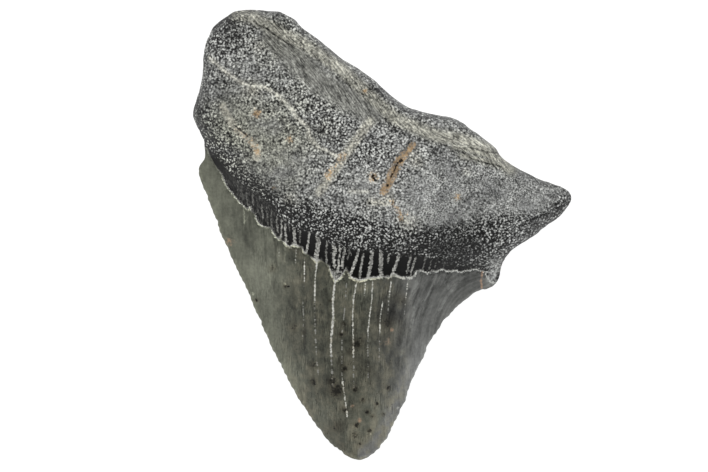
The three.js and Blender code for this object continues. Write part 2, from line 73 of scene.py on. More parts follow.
# Where the outline lies outside the plain shape: place, radius, by how much.
OUTLINE_SHIFTS = [
    (-37.1, -1.6, 4.5, 0.45), (-33.5, -9.5, 5, 0.25), (-29.3, -18.7, 4, 0.3),
    (-25.5, -27.5, 5, 0.25), (-20, -38, 5, 0.12), (-12, -49, 4, 0.2), (-5, -53, 3.5, 0.35),
    (0.5, -48.5, 4, 0.5), (4.5, -40, 4.5, 0.5), (8.8, -30, 4, 0.55), (12.5, -23, 3, 0.25),
    (16, -18.5, 4, 0.5), (21.5, -14, 2.5, 0.15), (26.5, -11.8, 3.5, 0.35), (29, -6, 4, 0.25),
    (35.5, -0.5, 4, 0.2), (44, 9.5, 2.5, 0.45), (34.4, 14.2, 2.5, -0.15), (24.3, 22.2, 2, -0.25),
    (12, 29, 7, -0.17), (-1.6, 36, 2.5, 0.2), (-20.9, 50.3, 2.2, 0.42), (-33.6, 52.4, 4, -0.35),
    (-43.1, 33.1, 3.5, -0.25), (-44, 27.6, 2, 0.15),
]

# The edge of the enamel on the lingual face, with its scallops, and on the labial face.
ENAMEL_LINE = [
    (-41.9, 20.4), (-41, 20), (-40.4, 18.6), (-39, 16.1), (-37.6, 14), (-37.3, 13), (-36.4, 11.1),
    (-34.9, 9.2), (-33.3, 7.3), (-32, 6.1), (-31.3, 5.6), (-30.9, 6.5), (-30.7, 5.4), (-29.8, 4.6),
    (-29.4, 3.2), (-28.7, 2.3), (-27.7, 1.6), (-26.1, 1.4), (-25.5, 0.3), (-24.8, -0.8),
    (-24.1, -1.4), (-23.6, -0.5), (-23.4, -1.6), (-22.8, -2), (-22.3, -2.7), (-21.3, -3.1),
    (-20.7, -2.3), (-20.5, -2.8), (-18.8, -3.1), (-18.1, -4.5), (-17.3, -4.8), (-16.3, -5.6),
    (-15.2, -6.7), (-14.2, -6.1), (-12.6, -7.2), (-12.3, -7.8), (-12, -8.9), (-11.5, -10),
    (-10.9, -11.2), (-10.1, -10.7), (-9.3, -9.9), (-8.7, -8.9), (-8.3, -8.2), (-7.8, -8.9),
    (-7.3, -10.2), (-6.3, -10.7), (-5.1, -11), (-3.4, -10.5), (-0.8, -10.2), (1.8, -10.2),
    (2.9, -9.5), (3.9, -10), (4.9, -10.3), (6, -10.4), (7, -10.2), (7.8, -9.8), (8.2, -8.8),
    (9.3, -8.6), (10.7, -9.2), (11.8, -8.8), (12.8, -8.9), (14.3, -8.2), (15.2, -8.7), (16.1, -8.8),
    (17.5, -8.6), (18.6, -9.1), (19.4, -8.7), (20.5, -8.6), (22.1, -8.2), (23, -8.6), (24.4, -8.9),
    (24.8, -10.1), (25.6, -11), (26.8, -11.4), (28, -11.8),
]
LABIAL_ENAMEL_LINE = [
    (-42.6, 17.8), (-34, 15.5), (-22, 10.2), (-8, 7.2), (4, 2.6), (14, -3.4), (22, -9), (26.6, -11),
]

# The top of the smooth dark band, which the root's grain overlaps.
BAND_TOP = [
    (-42.5, 20.9), (-40.9, 20.4), (-38.4, 18), (-36.1, 15), (-34.3, 12.9), (-31, 10.6),
    (-28.6, 8.6), (-26, 6.8), (-23.6, 4), (-22.1, 2.4), (-19.9, 1.1), (-18, 0.8), (-16, 0.1),
    (-14.2, -0.9), (-12.2, -2.2), (-9.8, -2.8), (-6.7, -3.7), (-3.9, -3.8), (-1.4, -3.9),
    (0.9, -4.4), (4.3, -4.9), (6.5, -4.9), (8.8, -5.1), (11.3, -5.9), (13.1, -6.6), (15.4, -7.2),
    (20.8, -7.7), (24.8, -8.6), (28, -11.7),
]

# The top of the root's dark lower slope, which is partly darker bone and partly painted shade where
# the slope faces down, away from the lights.
SHADE_TOP = [
    (-41.9, 24.9), (-36.8, 20.2), (-32.1, 15.5), (-28.1, 12.2), (-23.9, 8.9), (-19.2, 6.8),
    (-12.1, 5.4), (-4.6, 3.3), (0.8, 1.9), (4.8, 1.2), (12.3, 1.2), (17.3, 1.9), (22.7, 3.5),
    (27.8, 4.5), (34.9, 5.2), (38.5, 6.4), (43.1, 9.2),
]

# The two blade edges, from shoulder to tip.
LEFT_BLADE = [
    (-43.1, 14.8), (-40.8, 8), (-37.7, 0.5), (-34.4, -7), (-30.9, -14.6), (-26.9, -24),
    (-22.4, -33.4), (-18.2, -40.9), (-14.2, -46.5), (-10.7, -50.3), (-5.8, -52.9),
]
RIGHT_BLADE = [
    (26.5, -11.7), (23.1, -13.1), (19.9, -15.2), (16.1, -18.6), (12.8, -22.8), (10, -28),
    (7.4, -33.4), (5.3, -39), (2.9, -44.4), (0.6, -48.4), (-2, -51.5), (-5.8, -52.9),
]

# The pale rib along the root's basal side; the grain of the hollow beside it runs along it.
BASAL_RIB = [
    (-34.8, 51.7), (-30.2, 50.8), (-22.2, 46.3), (-17.5, 44.1), (-10, 39), (-5.6, 34.8),
    (-2.7, 32.3), (2.9, 27.2), (7.2, 25.2), (12.8, 23), (19.4, 21.9), (24.7, 20), (30.2, 15.4),
]

# Features of the root and the crown.
HOLLOW = [(-25.2, 46.2), (-20, 41), (-14.6, 35.6), (-9, 32), (-2.5, 28.6)]
HOLLOW_EDGE = [(-20.8, 40.2), (-20, 38.6), (-19.4, 36.6), (-16.9, 34.1)]
LEFT_VEIN = [
    (-40.5, 41.4), (-36.8, 38.2), (-33.4, 35.7), (-30.8, 34.7), (-27.4, 34.4), (-24.6, 32.7),
    (-21.5, 29.8), (-19.6, 27), (-17.3, 25), (-16.8, 22.6), (-15.2, 20.6), (-12, 19), (-10.2, 18),
]
LOWER_LEFT_VEIN = [
    (-37.2, 29.9), (-35.2, 26), (-33.2, 23.7), (-30.4, 21.6), (-29.1, 20.2), (-29.3, 17.9),
]
DIAGONAL_BAND = [(-2.7, 26.3), (-8.4, 18.6), (-12.3, 12.9), (-14.6, 9.8)]
RUST_CRACK = [
    (7.4, 20.8), (6.5, 19.6), (5, 18.1), (3.8, 16.6), (3, 14.9), (2.1, 13.1), (1.5, 11.6),
    (0.6, 10.2),
]
RUST_TAIL = [(2.3, 7.6), (3.9, 5.4), (4.6, 3.4)]
UPPER_SCRATCH = [(-7.4, 9.9), (-3.2, 9.9)]
LOWER_SCRATCH = [(-2.7, 7.6), (0.6, 7.2), (2, 7.6)]
UPPER_FOLD = [(17, 20.5), (21.3, 19.4), (27.8, 17.6)]
LOWER_FOLD = [(18.9, 18.4), (22.5, 17.6), (28.8, 15.9)]
FLANK_EDGE = [(24.8, -8.7), (25.2, -4.4), (38.4, 3.3)]
ENAMEL_BROWN_LINE = [(23.7, -8.9), (23.4, -10.8), (23.6, -12.7)]
CROWN_AXIS = [(-8, -8), (-7.6, -24.9), (-6.6, -39), (-4.6, -49)]

# Pale or tan marks on the root: line, half its width, strength.
TAN_LINES = [
    (BASAL_RIB, 1.35, 0.8), (LEFT_VEIN, 0.6, 0.65), (LOWER_LEFT_VEIN, 0.9, 1.15),
    (DIAGONAL_BAND, 1.1, 0.9), (UPPER_FOLD, 0.5, 0.9), (LOWER_FOLD, 0.45, 0.8),
    (UPPER_SCRATCH, 0.5, 0.5), (LOWER_SCRATCH, 0.8, 0.8),
]
# Where the bone is smoother, in the same form.
SMOOTH_LINES = [
    (BASAL_RIB, 1.6, 0.7), (HOLLOW, 3.1, 1), (DIAGONAL_BAND, 1.2, 0.55), (LEFT_VEIN, 0.6, 0.4),
    (LOWER_LEFT_VEIN, 0.7, 0.6), (RUST_CRACK, 1.2, 0.7), (UPPER_FOLD, 1, 0.7),
    (LOWER_FOLD, 0.9, 0.7),
]
# Where its grain turns to fibres, in the same form.
FIBRE_LINES = [
    (BASAL_RIB, 1.9, 0.9), (HOLLOW, 3.1, 0.8), (UPPER_FOLD, 1.3, 1), (LOWER_FOLD, 1.2, 1),
]

# Fine pale lines and dark creases, the creases' darkness partly painted shade: line, half its
# width, change of tone.
FINE_LINES = [
    (LEFT_VEIN, 0.22, 0.18), (HOLLOW_EDGE, 0.24, 0.2), (UPPER_SCRATCH, 0.2, 0.17),
    (LOWER_SCRATCH, 0.24, 0.17), ([(-2.2, 27), (-4.4, 25.2), (-8, 21.6), (-11.4, 17)], 0.2, 0.08),
    ([(-29.4, 49.3), (-27, 48.1), (-23.9, 45.8), (-21, 43.9)], 0.2, -0.2),
    ([(-8.6, 36.2), (-7.7, 34.8)], 0.26, -0.26),
    ([(-2.7, 33.9), (-1.1, 33.9), (0.4, 32.3)], 0.2, -0.28),
    ([(-4.1, 32.5), (-2.2, 31.7)], 0.22, -0.24),
    ([(-0.4, 27.6), (2.1, 25.6), (4.8, 24), (5.6, 22.9)], 0.2, -0.2),
    ([(16.1, 20.7), (19.5, 20.6)], 0.2, 0.16),
    ([(20.7, 20.2), (24, 19.4), (27.5, 18.9)], 0.17, -0.22),
    ([(17.8, 19.9), (21, 17.8)], 0.2, -0.16),
    ([(20.9, 17.6), (24.3, 16.6), (27.5, 15.9)], 0.2, -0.24),
    ([(34.5, 3.2), (36.6, 3.9), (38.8, 4.8)], 0.26, -0.24),
    ([(-34.1, 25.1), (-32.8, 24.1), (-31.4, 23)], 0.2, -0.36),
    ([(8.9, -9.2), (8, -12), (6.8, -15.3)], 0.42, 0.07),
    ([(13.2, -9), (12.3, -11), (11.3, -13.8), (10.3, -15.6)], 0.3, 0.08),
    ([(8.9, -15.3), (7.5, -18.9), (6.9, -21.7)], 0.3, 0.07),
    ([(15, -9.3), (14.2, -11.2)], 0.28, 0.07),
    ([(17.6, -9.2), (16.1, -10.6), (15.7, -12.4)], 0.24, 0.06),
    ([(9.6, -9.5), (8.9, -12.6), (7.4, -16.6)], 0.2, -0.08),
    ([(8.6, -17.4), (7.9, -19.8)], 0.22, -0.07),
    ([(-20.9, -11.5), (-20.6, -16.5), (-20.3, -21.5)], 0.36, -0.05),
    ([(-18, -21.5), (-18.1, -26.6)], 0.3, -0.06), ([(-16.3, -29.5), (-16, -35)], 0.34, -0.06),
    ([(12.2, -12), (10.8, -15.5), (10, -19)], 0.3, -0.07),
    ([(18.9, -10.5), (16, -13.6), (13.6, -18)], 0.3, 0.06), ([(6, -22.5), (4.6, -28.5)], 0.3, 0.05),
    ([(-32.3, 5.4), (-32.2, 2.6)], 0.13, 0.2), ([(-22.7, -3.4), (-22.7, -6.4)], 0.13, 0.12),
    ([(-27.6, 0.8), (-27, -6.5)], 0.24, -0.05), ([(-30.9, 3.6), (-30.2, -4)], 0.3, -0.05),
    ([(-25.1, -1.6), (-24.6, -7.5)], 0.22, -0.06),
]

# Fine long cracks of the labial enamel, in the same form.
LABIAL_LINES = [
    ([(-12.5, 8), (-11.8, -6), (-10.9, -21), (-10.2, -30)], 0.13, -0.14),
    ([(-3.5, 5.6), (-4, -9), (-4.4, -24), (-5.2, -37)], 0.11, -0.12),
    ([(-20.5, 9.8), (-18.9, -4), (-17, -14)], 0.1, -0.12),
    ([(5, 2.2), (3.4, -10.5), (1.4, -22)], 0.12, -0.13),
    ([(13.2, -2.9), (10.6, -12), (8.7, -18.5)], 0.1, 0.14), ([(-28, 12.9), (-26.3, 3)], 0.12, 0.14),
    ([(-7.6, -26), (-7, -44)], 0.1, 0.12),
]

# Rust stains along lines: line, half its width, strength.
RUST_LINES = [
    (RUST_CRACK, 0.7, 0.85), (RUST_CRACK[2:], 1.1, 0.72), (RUST_TAIL, 0.6, 0.5),
    (ENAMEL_BROWN_LINE, 0.28, 0.8), ([(-9, 18.4), (-12.6, 13.6)], 0.8, 0.27),
    ([(-33.8, 24.2), (-30.4, 21.8), (-29, 18.6)], 0.8, 0.3),
]

# Rust spots: place, radius, strength.
RUST_SPOTS = [
    (-29.3, 28.2, 1.1, 0.9), (-21.5, 22.1, 1.1, 0.65), (-29, 19.9, 1.1, 0.35),
    (-3.9, 33.4, 0.6, 0.7), (-7.6, 41.4, 1.1, 0.4), (17.6, 8.6, 0.9, 0.6), (-12.3, 13.9, 1.3, 0.38),
    (-9.2, 17.8, 1, 0.38), (-1.9, 13.2, 1.1, 0.75), (5.9, 4.6, 0.7, 0.5), (2.4, -22.5, 0.6, 0.9),
    (1.4, -25.3, 1.3, 0.55), (-0.6, -25.6, 0.7, 0.4), (-6.9, -40.4, 0.7, 0.7),
    (-5.1, -43.7, 0.7, 0.9), (-35.6, -1.8, 1.5, 0.6), (-0.4, -28.5, 1.6, 0.3),
    (-5.5, -30.5, 1.4, 0.3), (-25.1, 10.7, 0.7, 0.55),
]

# Pale tan spots: place, radius, strength.
TAN_SPOTS = [
    (-1.9, 13.1, 1.2, 0.9), (17.6, 8.6, 1.1, 0.6), (-28.6, 43.9, 1.2, 0.6), (-29.3, 28.2, 1.6, 0.4),
    (-30.2, 33.8, 1.8, 0.9), (-9.9, 38.8, 0.9, 0.9), (1.5, 8.2, 1.5, 0.8), (7, 2.4, 2, 0.5),
    (7, 18, 2, 0.5), (-2, 7.5, 1.6, 0.4), (-22, 21, 1.5, 0.3), (5, 3, 1.5, 0.5),
    (8.6, 16.6, 1.2, 0.5), (19.8, 14.5, 1, 0.5), (-21.6, 8, 1.6, 0.7),
]

# Small dark pits in the root and the enamel: place, radius.
PITS = [
    (-2.1, 13.5, 0.38), (-1.6, 12.6, 0.32), (4.6, 17.1, 0.42), (-26.3, 28.5, 0.36),
    (1.4, 11.3, 0.26), (-21.9, -12.4, 0.22), (-29.3, -15.6, 0.2),
]

# Pale mineral crust on the dark band and the enamel: place, radius, strength.
CRUST_SPOTS = [
    (-10.7, -9, 1.5, 0.9), (-15.3, -6.2, 0.8, 1), (-10.6, -4.5, 1.6, 0.4), (-7.6, -4.6, 0.8, 0.5),
    (-22.3, -1.9, 0.6, 0.8), (-17.6, -4.4, 0.5, 0.7), (7, -8.6, 0.8, 0.6), (-22.7, -11.7, 0.5, 0.9),
    (-30.2, -14.1, 0.5, 0.8), (-2.6, -46.9, 0.35, 0.8), (-11.1, -19.9, 0.6, 0.8),
    (4, -40.9, 0.5, 0.6), (-5.2, -43.6, 0.7, 0.3),
]

# Dark mineral smudges on the enamel: place, radius, strength.
SMUDGES = [
    (-10.5, -36.8, 1.5, 1), (-11.6, -34.5, 1, 0.8), (-16.1, -34.7, 0.8, 0.8),
    (-16.1, -30.7, 1.1, 0.6), (-8.6, -31.6, 0.65, 1), (-8.9, -21.1, 0.6, 0.8),
    (-9.5, -23.5, 0.6, 1), (-5.7, -25.7, 1.4, 0.8), (-6.2, -36.4, 0.7, 0.9), (-4.4, -39, 0.6, 0.8),
    (-1, -39.9, 0.5, 1), (-3.3, -41.8, 0.6, 1), (0.4, -42.4, 0.5, 0.8), (-2.2, -42.8, 0.5, 0.8),
    (-8.7, -41.3, 0.8, 0.8), (-5.9, -44.9, 0.7, 0.9), (-2.8, -46.2, 0.55, 1),
    (-6.2, -47.2, 0.9, 0.7), (-5.1, -49.4, 0.8, 0.6), (-10.5, -45.5, 1.3, 0.5),
    (-22.6, -12.3, 0.5, 0.9), (-29.4, -15.6, 0.5, 0.8), (-20.6, -22.1, 1.1, 0.5),
    (-12.1, -15.6, 0.5, 0.7), (1.5, -36.2, 0.6, 0.8), (-18.3, -23.2, 0.6, 0.6),
    (1.4, -21, 1.2, 0.6), (-25.6, -8.1, 1, 0.5), (-12, -25, 0.5, 0.7), (4.8, -15.5, 1.4, 0.5),
    (-7.4, -27.7, 0.8, 0.5),
]

# Brown stains of the enamel: place, radius, strength.
BROWN_SPOTS = [
    (0.9, -22, 3.4, 0.9), (-7.8, -30.5, 3.2, 0.9), (-2.5, -32.5, 2.5, 0.6), (-11.3, -36.5, 2, 0.9),
    (-6, -40.5, 1.6, 0.7), (-9.5, -44.5, 2.2, 0.5), (-5, -48.5, 2.4, 0.5), (3, -14.5, 2.2, 0.5),
]

# Where the bone has a warmer tint: place, radius, strength.
WARM_SPOTS = [
    (-34, 24, 10, 0.9), (-20, 25, 8, 0.6), (-24, 44, 7, 0.4), (-24, 14, 6, 0.5),
]

# Broad areas that are paler or darker than the rest: place, radius, change.
TONE_SPOTS = [
    # The root's dark left end and the paler bone beside it; the darker spots along the left edge
    # are painted shade on its steep wall.
    (-36, 50, 4, -0.17), (-35.5, 45.5, 5, -0.11), (-23.5, 49.6, 2.5, -0.1),
    (-25, 44, 2.5, -0.08), (-41, 40, 4, -0.05), (-42.5, 30, 4.5, -0.1),
    (-40.5, 25, 3.5, -0.08), (-32.5, 42.5, 3.5, 0.08), (-36, 34, 4, -0.04),
    (-12, 39, 4, 0.05), (-2.7, 34, 2.5, -0.08),
    # Dark grain on both sides of the diagonal band.
    (-14, 24.5, 3.5, -0.09), (-7, 23.5, 3.5, -0.07), (-2.8, 19, 3, -0.11),
    # Pale bone in the middle of the root and on its right lobe.
    (-2.5, 12.5, 5, 0.09), (-8, 8, 4, 0.06), (-14.5, 12.5, 4, 0.07),
    (-23.5, 16.5, 4.5, 0.06), (3.5, 5.5, 4, 0.1), (9, 6, 3.5, 0.09),
    (12, 9.5, 6, 0.08), (23, 19, 4, 0.05), (16, 19, 3.2, -0.09),
    (31, 5, 5, 0.07), (38.5, 4.2, 4.2, 0.1), (32.5, -1.5, 4, 0.13),
    (25.5, 1, 3, 0.06), (2.9, 14.3, 1.3, -0.1),
    # The dark lower slope, from left to right: partly darker bone, partly painted shade.
    (-34, 19.3, 3.8, -0.08), (-29, 9, 4.2, -0.08), (-21.5, 4, 5, -0.1),
    (-17.5, -2.5, 2.5, -0.06), (10, -3.8, 4, -0.1), (17.5, -3.2, 6, -0.08),
    (21.8, -2, 3.5, -0.08),
    # The pale end of the band below the root's right lobe.
    (27.2, -7, 3, 0.32), (26.1, -10, 1.6, 0.27),
    # Pale and dark streaks below the band.
    (-35.5, 10, 3, 0.04), (-27, -1.5, 3, 0.05), (-30.7, -0.2, 2.8, -0.06),
    (-28, -9, 4.2, 0.08), (-21.8, -9.8, 3, 0.07), (-8, -13.5, 4, 0.05), (-2.7, -13, 2.2, 0.09),
    # Painted sheen: a pale streak of reflected light down the crown's right side.
    (6.2, -15.5, 1.3, 0.06), (5.4, -18.5, 1.5, 0.07),
    (2.3, -18.5, 3.5, -0.09), (21, -11.5, 3.5, -0.05),
    # The paler flanks and tip, a painted sheen, and the dark places between them, partly painted
    # shade and partly stains.
    (-21, -34, 5, 0.08), (-14, -41, 3.5, 0.06), (4.5, -31, 4, 0.04),
    (-0.5, -41, 4.8, 0.1), (-6, -48, 5.5, 0.09), (-8.5, -38.5, 4, 0.05),
    (-11.5, -36.3, 3, -0.07), (-10, -45.5, 1.8, -0.06), (-9.5, -50.5, 2.5, -0.1),
]

# Where the grain is bolder or softer: place, radius, change of its strength.
CONTRAST_SPOTS = [
    (-35, 45.5, 6.5, 0.2), (-22, 46.5, 4, 0.35), (-15.6, 29.6, 4.5, 0.4), (-7.5, 27, 4.5, 0.3),
    (-2.7, 18.1, 4.5, 0.3), (13.8, 9.5, 6.5, -0.25), (30.5, 8.5, 8, -0.25), (-22.7, 15, 6, -0.25),
    (-5.5, 11.5, 4.5, -0.5), (-35.5, 30.5, 5, -0.35), (-28.5, 23, 5.5, -0.3), (-31, 38, 6, -0.15),
    (17, -3, 7, -0.4), (-37, 21, 4, 0.3), (-30, 8.5, 4, 0.1), (9, 1, 3, 0.35),
    (27.6, -7.2, 3.2, -1.5), (26.1, -10.2, 1.8, -0.9), (37.5, 4, 5, -0.45),
    (-24.3, 50.5, 2.2, -0.4), (15.5, 24.8, 3.5, -0.3),
]

# Where the grain is finer: place, radius, share.
FINE_SPOTS = [
    (13, 9, 7, 1), (33, 9, 9, 0.8), (24, 16, 6, 0.6), (17, -2.5, 6, 0.6), (-24, 17, 7, 0.6),
    (-34, 28, 5, 0.4),
]

# Pale mineral strands that cross the dark band: points from the top, width, strength.
BAND_STRANDS = [
    ([(-33.6, 12.3), (-33.8, 9.9), (-33.7, 8.7)], 0.31, 0.35),
    ([(-32.8, 11.6), (-32.9, 9.2), (-32.5, 8.2)], 0.52, 0.3),
    ([(-31.8, 9.9), (-31.7, 8.5), (-31.4, 6.8)], 0.33, 0.4),
    ([(-30.2, 9.4), (-30.1, 7)], 0.35, 0.45), ([(-29.3, 8.2), (-29, 5.2)], 0.28, 0.3),
    ([(-28.1, 6.6), (-27.9, 4.9), (-27.8, 3.5)], 0.38, 0.6),
    ([(-27, 6.1), (-26.7, 3.5), (-26.6, 2.1)], 0.33, 0.4),
    ([(-25.8, 5.6), (-25.9, 3.3), (-25.6, 1.2)], 0.38, 0.4),
    ([(-24.6, 3.9), (-24.5, 2.2), (-24.3, 0.5)], 0.38, 0.6),
    ([(-23.4, 3.4), (-23.5, 1.8), (-23.6, -0.5)], 0.42, 0.8),
    ([(-22.6, 3.7), (-22.6, 1), (-22.4, -2.1)], 0.52, 0.85),
    ([(-21.6, 2.8), (-21.5, 0.5)], 0.28, 0.4),
    ([(-20.6, 2), (-20.4, -1.1), (-20.2, -2.8)], 0.7, 0.85),
    ([(-19.1, 0.6), (-19.2, -1.8)], 0.42, 0.5),
    ([(-16.9, 0.5), (-17.1, -1.2), (-17.3, -2.7), (-17.7, -4.5)], 0.47, 0.9),
    ([(-15, 0), (-14.8, -1.9), (-15.2, -4.5), (-15.3, -6.5)], 1.03, 0.85),
    ([(-12.7, -1.6), (-13, -4.5), (-12.9, -6.6)], 0.42, 0.6),
    ([(-11.6, -2.1), (-10.9, -3.5), (-11.3, -5.6), (-10.9, -7.8)], 0.8, 0.9),
    ([(-10.2, -1.9), (-9.6, -3.8), (-10.1, -6.1), (-9.9, -8)], 0.47, 0.9),
    ([(-8.3, -1.9), (-8.7, -3.8), (-9.1, -5.9), (-9.1, -7.8)], 0.61, 0.9),
    ([(-7.3, -2.7), (-8, -5.9)], 0.42, 0.4),
    ([(-5.3, -3), (-5.7, -5.2), (-6.6, -7.7), (-7.3, -9.6)], 0.66, 0.95),
    ([(-4.2, -4.8), (-4.6, -6.3), (-4.9, -8.1), (-5.1, -10.3)], 0.56, 0.8),
    ([(-2.2, -3.7), (-2.4, -6.3), (-2.8, -8.4), (-3.2, -10.4)], 0.8, 0.8),
    ([(-0.1, -3.8), (-0.1, -6.3), (-0.3, -8.4), (0.1, -10)], 0.94, 0.85),
    ([(1.7, -4.8), (1.5, -6.6)], 0.42, 0.7),
    ([(4.2, -4.2), (3.7, -6.3), (2.9, -8.4), (2.4, -9.9)], 0.7, 0.95),
    ([(6.9, -4.9), (6.4, -7), (6, -8.9)], 0.56, 0.75),
    ([(8, -5.6), (7.3, -7.7), (6.9, -9.4)], 0.47, 0.8), ([(10.3, -5.5), (9.8, -8.1)], 0.38, 0.5),
    ([(11.8, -5.9), (11.2, -8.1)], 0.33, 0.45), ([(12.9, -6.3), (12.5, -7.7)], 0.33, 0.4),
    ([(14.9, -6.6), (14.5, -8)], 0.31, 0.35), ([(18.4, -6.7), (17.1, -8)], 0.33, 0.35),
]

# Pale cracks that run down the enamel: points from the top, width, and the heights between which
# the crack is whole; beyond them it is a row of faint dashes.
ENAMEL_CRACKS = [
    ([(-20, -3.4), (-20.2, -7)], 0.21, (-3.3, -5.6)),
    ([(-18.1, -5.9), (-18.1, -10.6), (-18.5, -15.3), (-18.3, -20.6), (-18.6, -24.6)], 0.26,
     (-5.6, -10.6)),
    ([(-15.2, -6.8), (-15.6, -10.6), (-15.7, -19), (-15.2, -30), (-14.8, -32.9)], 0.4,
     (-6.6, -16)),
    ([(-10.9, -11.3), (-11.2, -13.2), (-11.4, -16), (-11.3, -19.2), (-11.9, -25.7),
      (-11.8, -28.9), (-11.4, -36.2)], 0.56, (-10.8, -27.7)),
    ([(-8.2, -11.7), (-8.7, -18.5), (-9.3, -23.5), (-9.3, -32.9), (-9.1, -35), (-8.4, -39.7),
      (-8, -42.9)], 0.33, (-34.5, -43.2)),
    ([(-5.9, -11.7), (-6.6, -15.3), (-6.8, -19.2), (-6.6, -27.8), (-6.5, -36.2)], 0.38,
     (-11.3, -28)),
    ([(-3.7, -11.5), (-4, -13.4), (-4.1, -14.9)], 0.33, (-11.3, -13.4)),
    ([(-2.1, -11.3), (-2.3, -15.3), (-3.2, -22.1), (-3.3, -26.4), (-3.2, -33.8)], 0.33,
     (-11, -24)),
    ([(0.3, -16), (-0.3, -19.5), (-0.6, -30)], 0.26, (-16, -22.5)),
    ([(2.2, -11.3), (1.7, -15.3), (1.4, -18.8)], 0.33, (-11, -15.5)),
]

# The growth lines of the enamel run straight down the tooth on its left and lean over towards
# the root's right end on its upper right: where they begin to lean, and how fast.
LEAN_START = (-12, -32)
LEAN = 0.00002

# Where the pale line along the enamel's edge is missing: place, radius, how much of it.
RIM_GAPS = [
    (-30.3, 4.8, 0.7, 1), (-23.3, -1.2, 0.5, 0.9), (-19, -3.2, 0.6, 0.6), (-17, -5, 1, 0.8),
    (-13.6, -6.7, 1.3, 0.9), (-39.6, 17.2, 3.6, 1), (-26.3, 1.2, 0.7, 0.5), (-7.9, -8.8, 0.5, 0.8),
]

# Where that line is thicker: place, radius, how much wider it is on each side.
RIM_BEADS = [
    (-15.3, -6.5, 0.8, 0.3), (-10.9, -10.4, 1.4, 0.25), (-5.8, -10.8, 1.6, 0.2),
    (-2, -10.4, 1.6, 0.12), (2.9, -9.5, 0.8, 0.25), (5.8, -10.3, 1.4, 0.15),
    (-22.4, -2.6, 0.7, 0.15), (-19.8, -2.9, 0.6, 0.15), (12.5, -8.9, 0.6, 0.12),
    (16.8, -8.7, 0.8, 0.12), (21, -8.5, 0.9, 0.06), (25.6, -11, 1.2, 0.14),
]

# Equal corners of the CAD mesh agree to this many decimals of a millimetre.
MERGE_DECIMALS = 4
# How far up or down a normal points where one face of the tooth has fully begun.
FACE_TURN = 0.25
# The two faces' noises are read this far apart, so that they differ.
FACE_GAP = 8
# The dark band's width and the grain's weakness on the labial face.
LABIAL_BAND_WIDTH = 1.4
LABIAL_CALM = 0.2
# Where the right blade's places start, past the end of the left blade's.
RIGHT_BLADE_START = 200
# How far from the blades the outline's shifts reach, and how much smooth bone is levelled.
BLADE_REACH = 1.5
LEVELLED = 0.6
# How far from a pit its mark reaches, so that each point of the mesh knows only its own pit.
PIT_REACH = 1.6
# How deep and how wide a pit of the mesh is, in radii of the pit.
PIT_DEPTH = 0.75
PIT_SPREAD = 1.3
# How far beyond its outermost strands a family of them is known, and its least spacing.
STRAND_MARGIN = 4
LEAST_GAP = 0.2
# How strands fade at their ends and cracks pass into dashes, in millimetres inside each end.
STRAND_FADE = (-0.5, 0.2)
DASH_FADE = (-2, 0.5)
# The rim's half width, and how much narrower it is on the band's right and left parts.
RIM_WIDTH = 0.19
RIM_LESS_RIGHT = 0.06
RIM_LESS_LEFT = 0.05
# The flank below the root's right lobe is only to the right of this.
FLANK_START = 24.6

# Levels of grey are given as they are seen; the power turns them into the light sent back.
GAMMA = 2.2
LEVELS = {
    # The side enamel is paler than the middle partly by its own tone and partly by a painted sheen.
    "bone": 0.486, "rust": 0.53, "slit": 0.12, "weak strand": 0.16, "side enamel": 0.392,
    "middle enamel": 0.327, "dash": 0.55, "smudge": 0.1, "fleck": 0.68, "rim": 0.8, "pit": 0.08,
}
# The bone's darkest and palest level, and the darkest level of all.
BONE_RANGE = (0.06, 0.88)
DARKEST = 0.03

# How much each noise or mark changes the level. The slope's darkening is partly painted shade, the
# wall's is painted shade, and the flank gains are a painted sheen on the enamel by the blades.
GAINS = {
    "cells": 0.66, "patches": 0.18, "slope": -0.21, "wall": -0.11, "tan": 0.17, "flank": 0.04,
    "painted flank sheen": 0.06, "specks": 0.18, "enamel rust": 0.13, "stain": -0.08, "crumbs": -0.5,
}

# How much a noise breaks up the edge of each mark.
RIPPLES = {
    "enamel edge": 0.5, "band top": 3.4, "fine line": 0.7, "slit": 0.9, "pit": 1.1,
    "strand": 0.85, "crack": 0.55,
}
# Ragged marks: the mesh's mark, how much specks break it up, and where it begins and is whole.
RAGGED = {
    "bone rust": ("rust", 2.2, 0.15, 0.95), "crust": ("crust", 2.2, 0.35, 0.7),
    "enamel rust": ("rust", 1.3, 0.3, 0.8), "smudge": ("smudges", 2.2, 0.35, 0.9),
    "fleck": ("crust", 2, 0.4, 0.7),
}

# The height that each mark adds to the bump, in millimetres.
RELIEF = {
    "grain": 0.1, "clumps": 0.06, "lines": 0.15, "strands": 0.08, "streaks": 0.012,
    "hair": 0.025, "cracks": 0.02, "smudge": -0.05, "edge": 0.09, "rim": 0.04, "pit": -0.15,
}

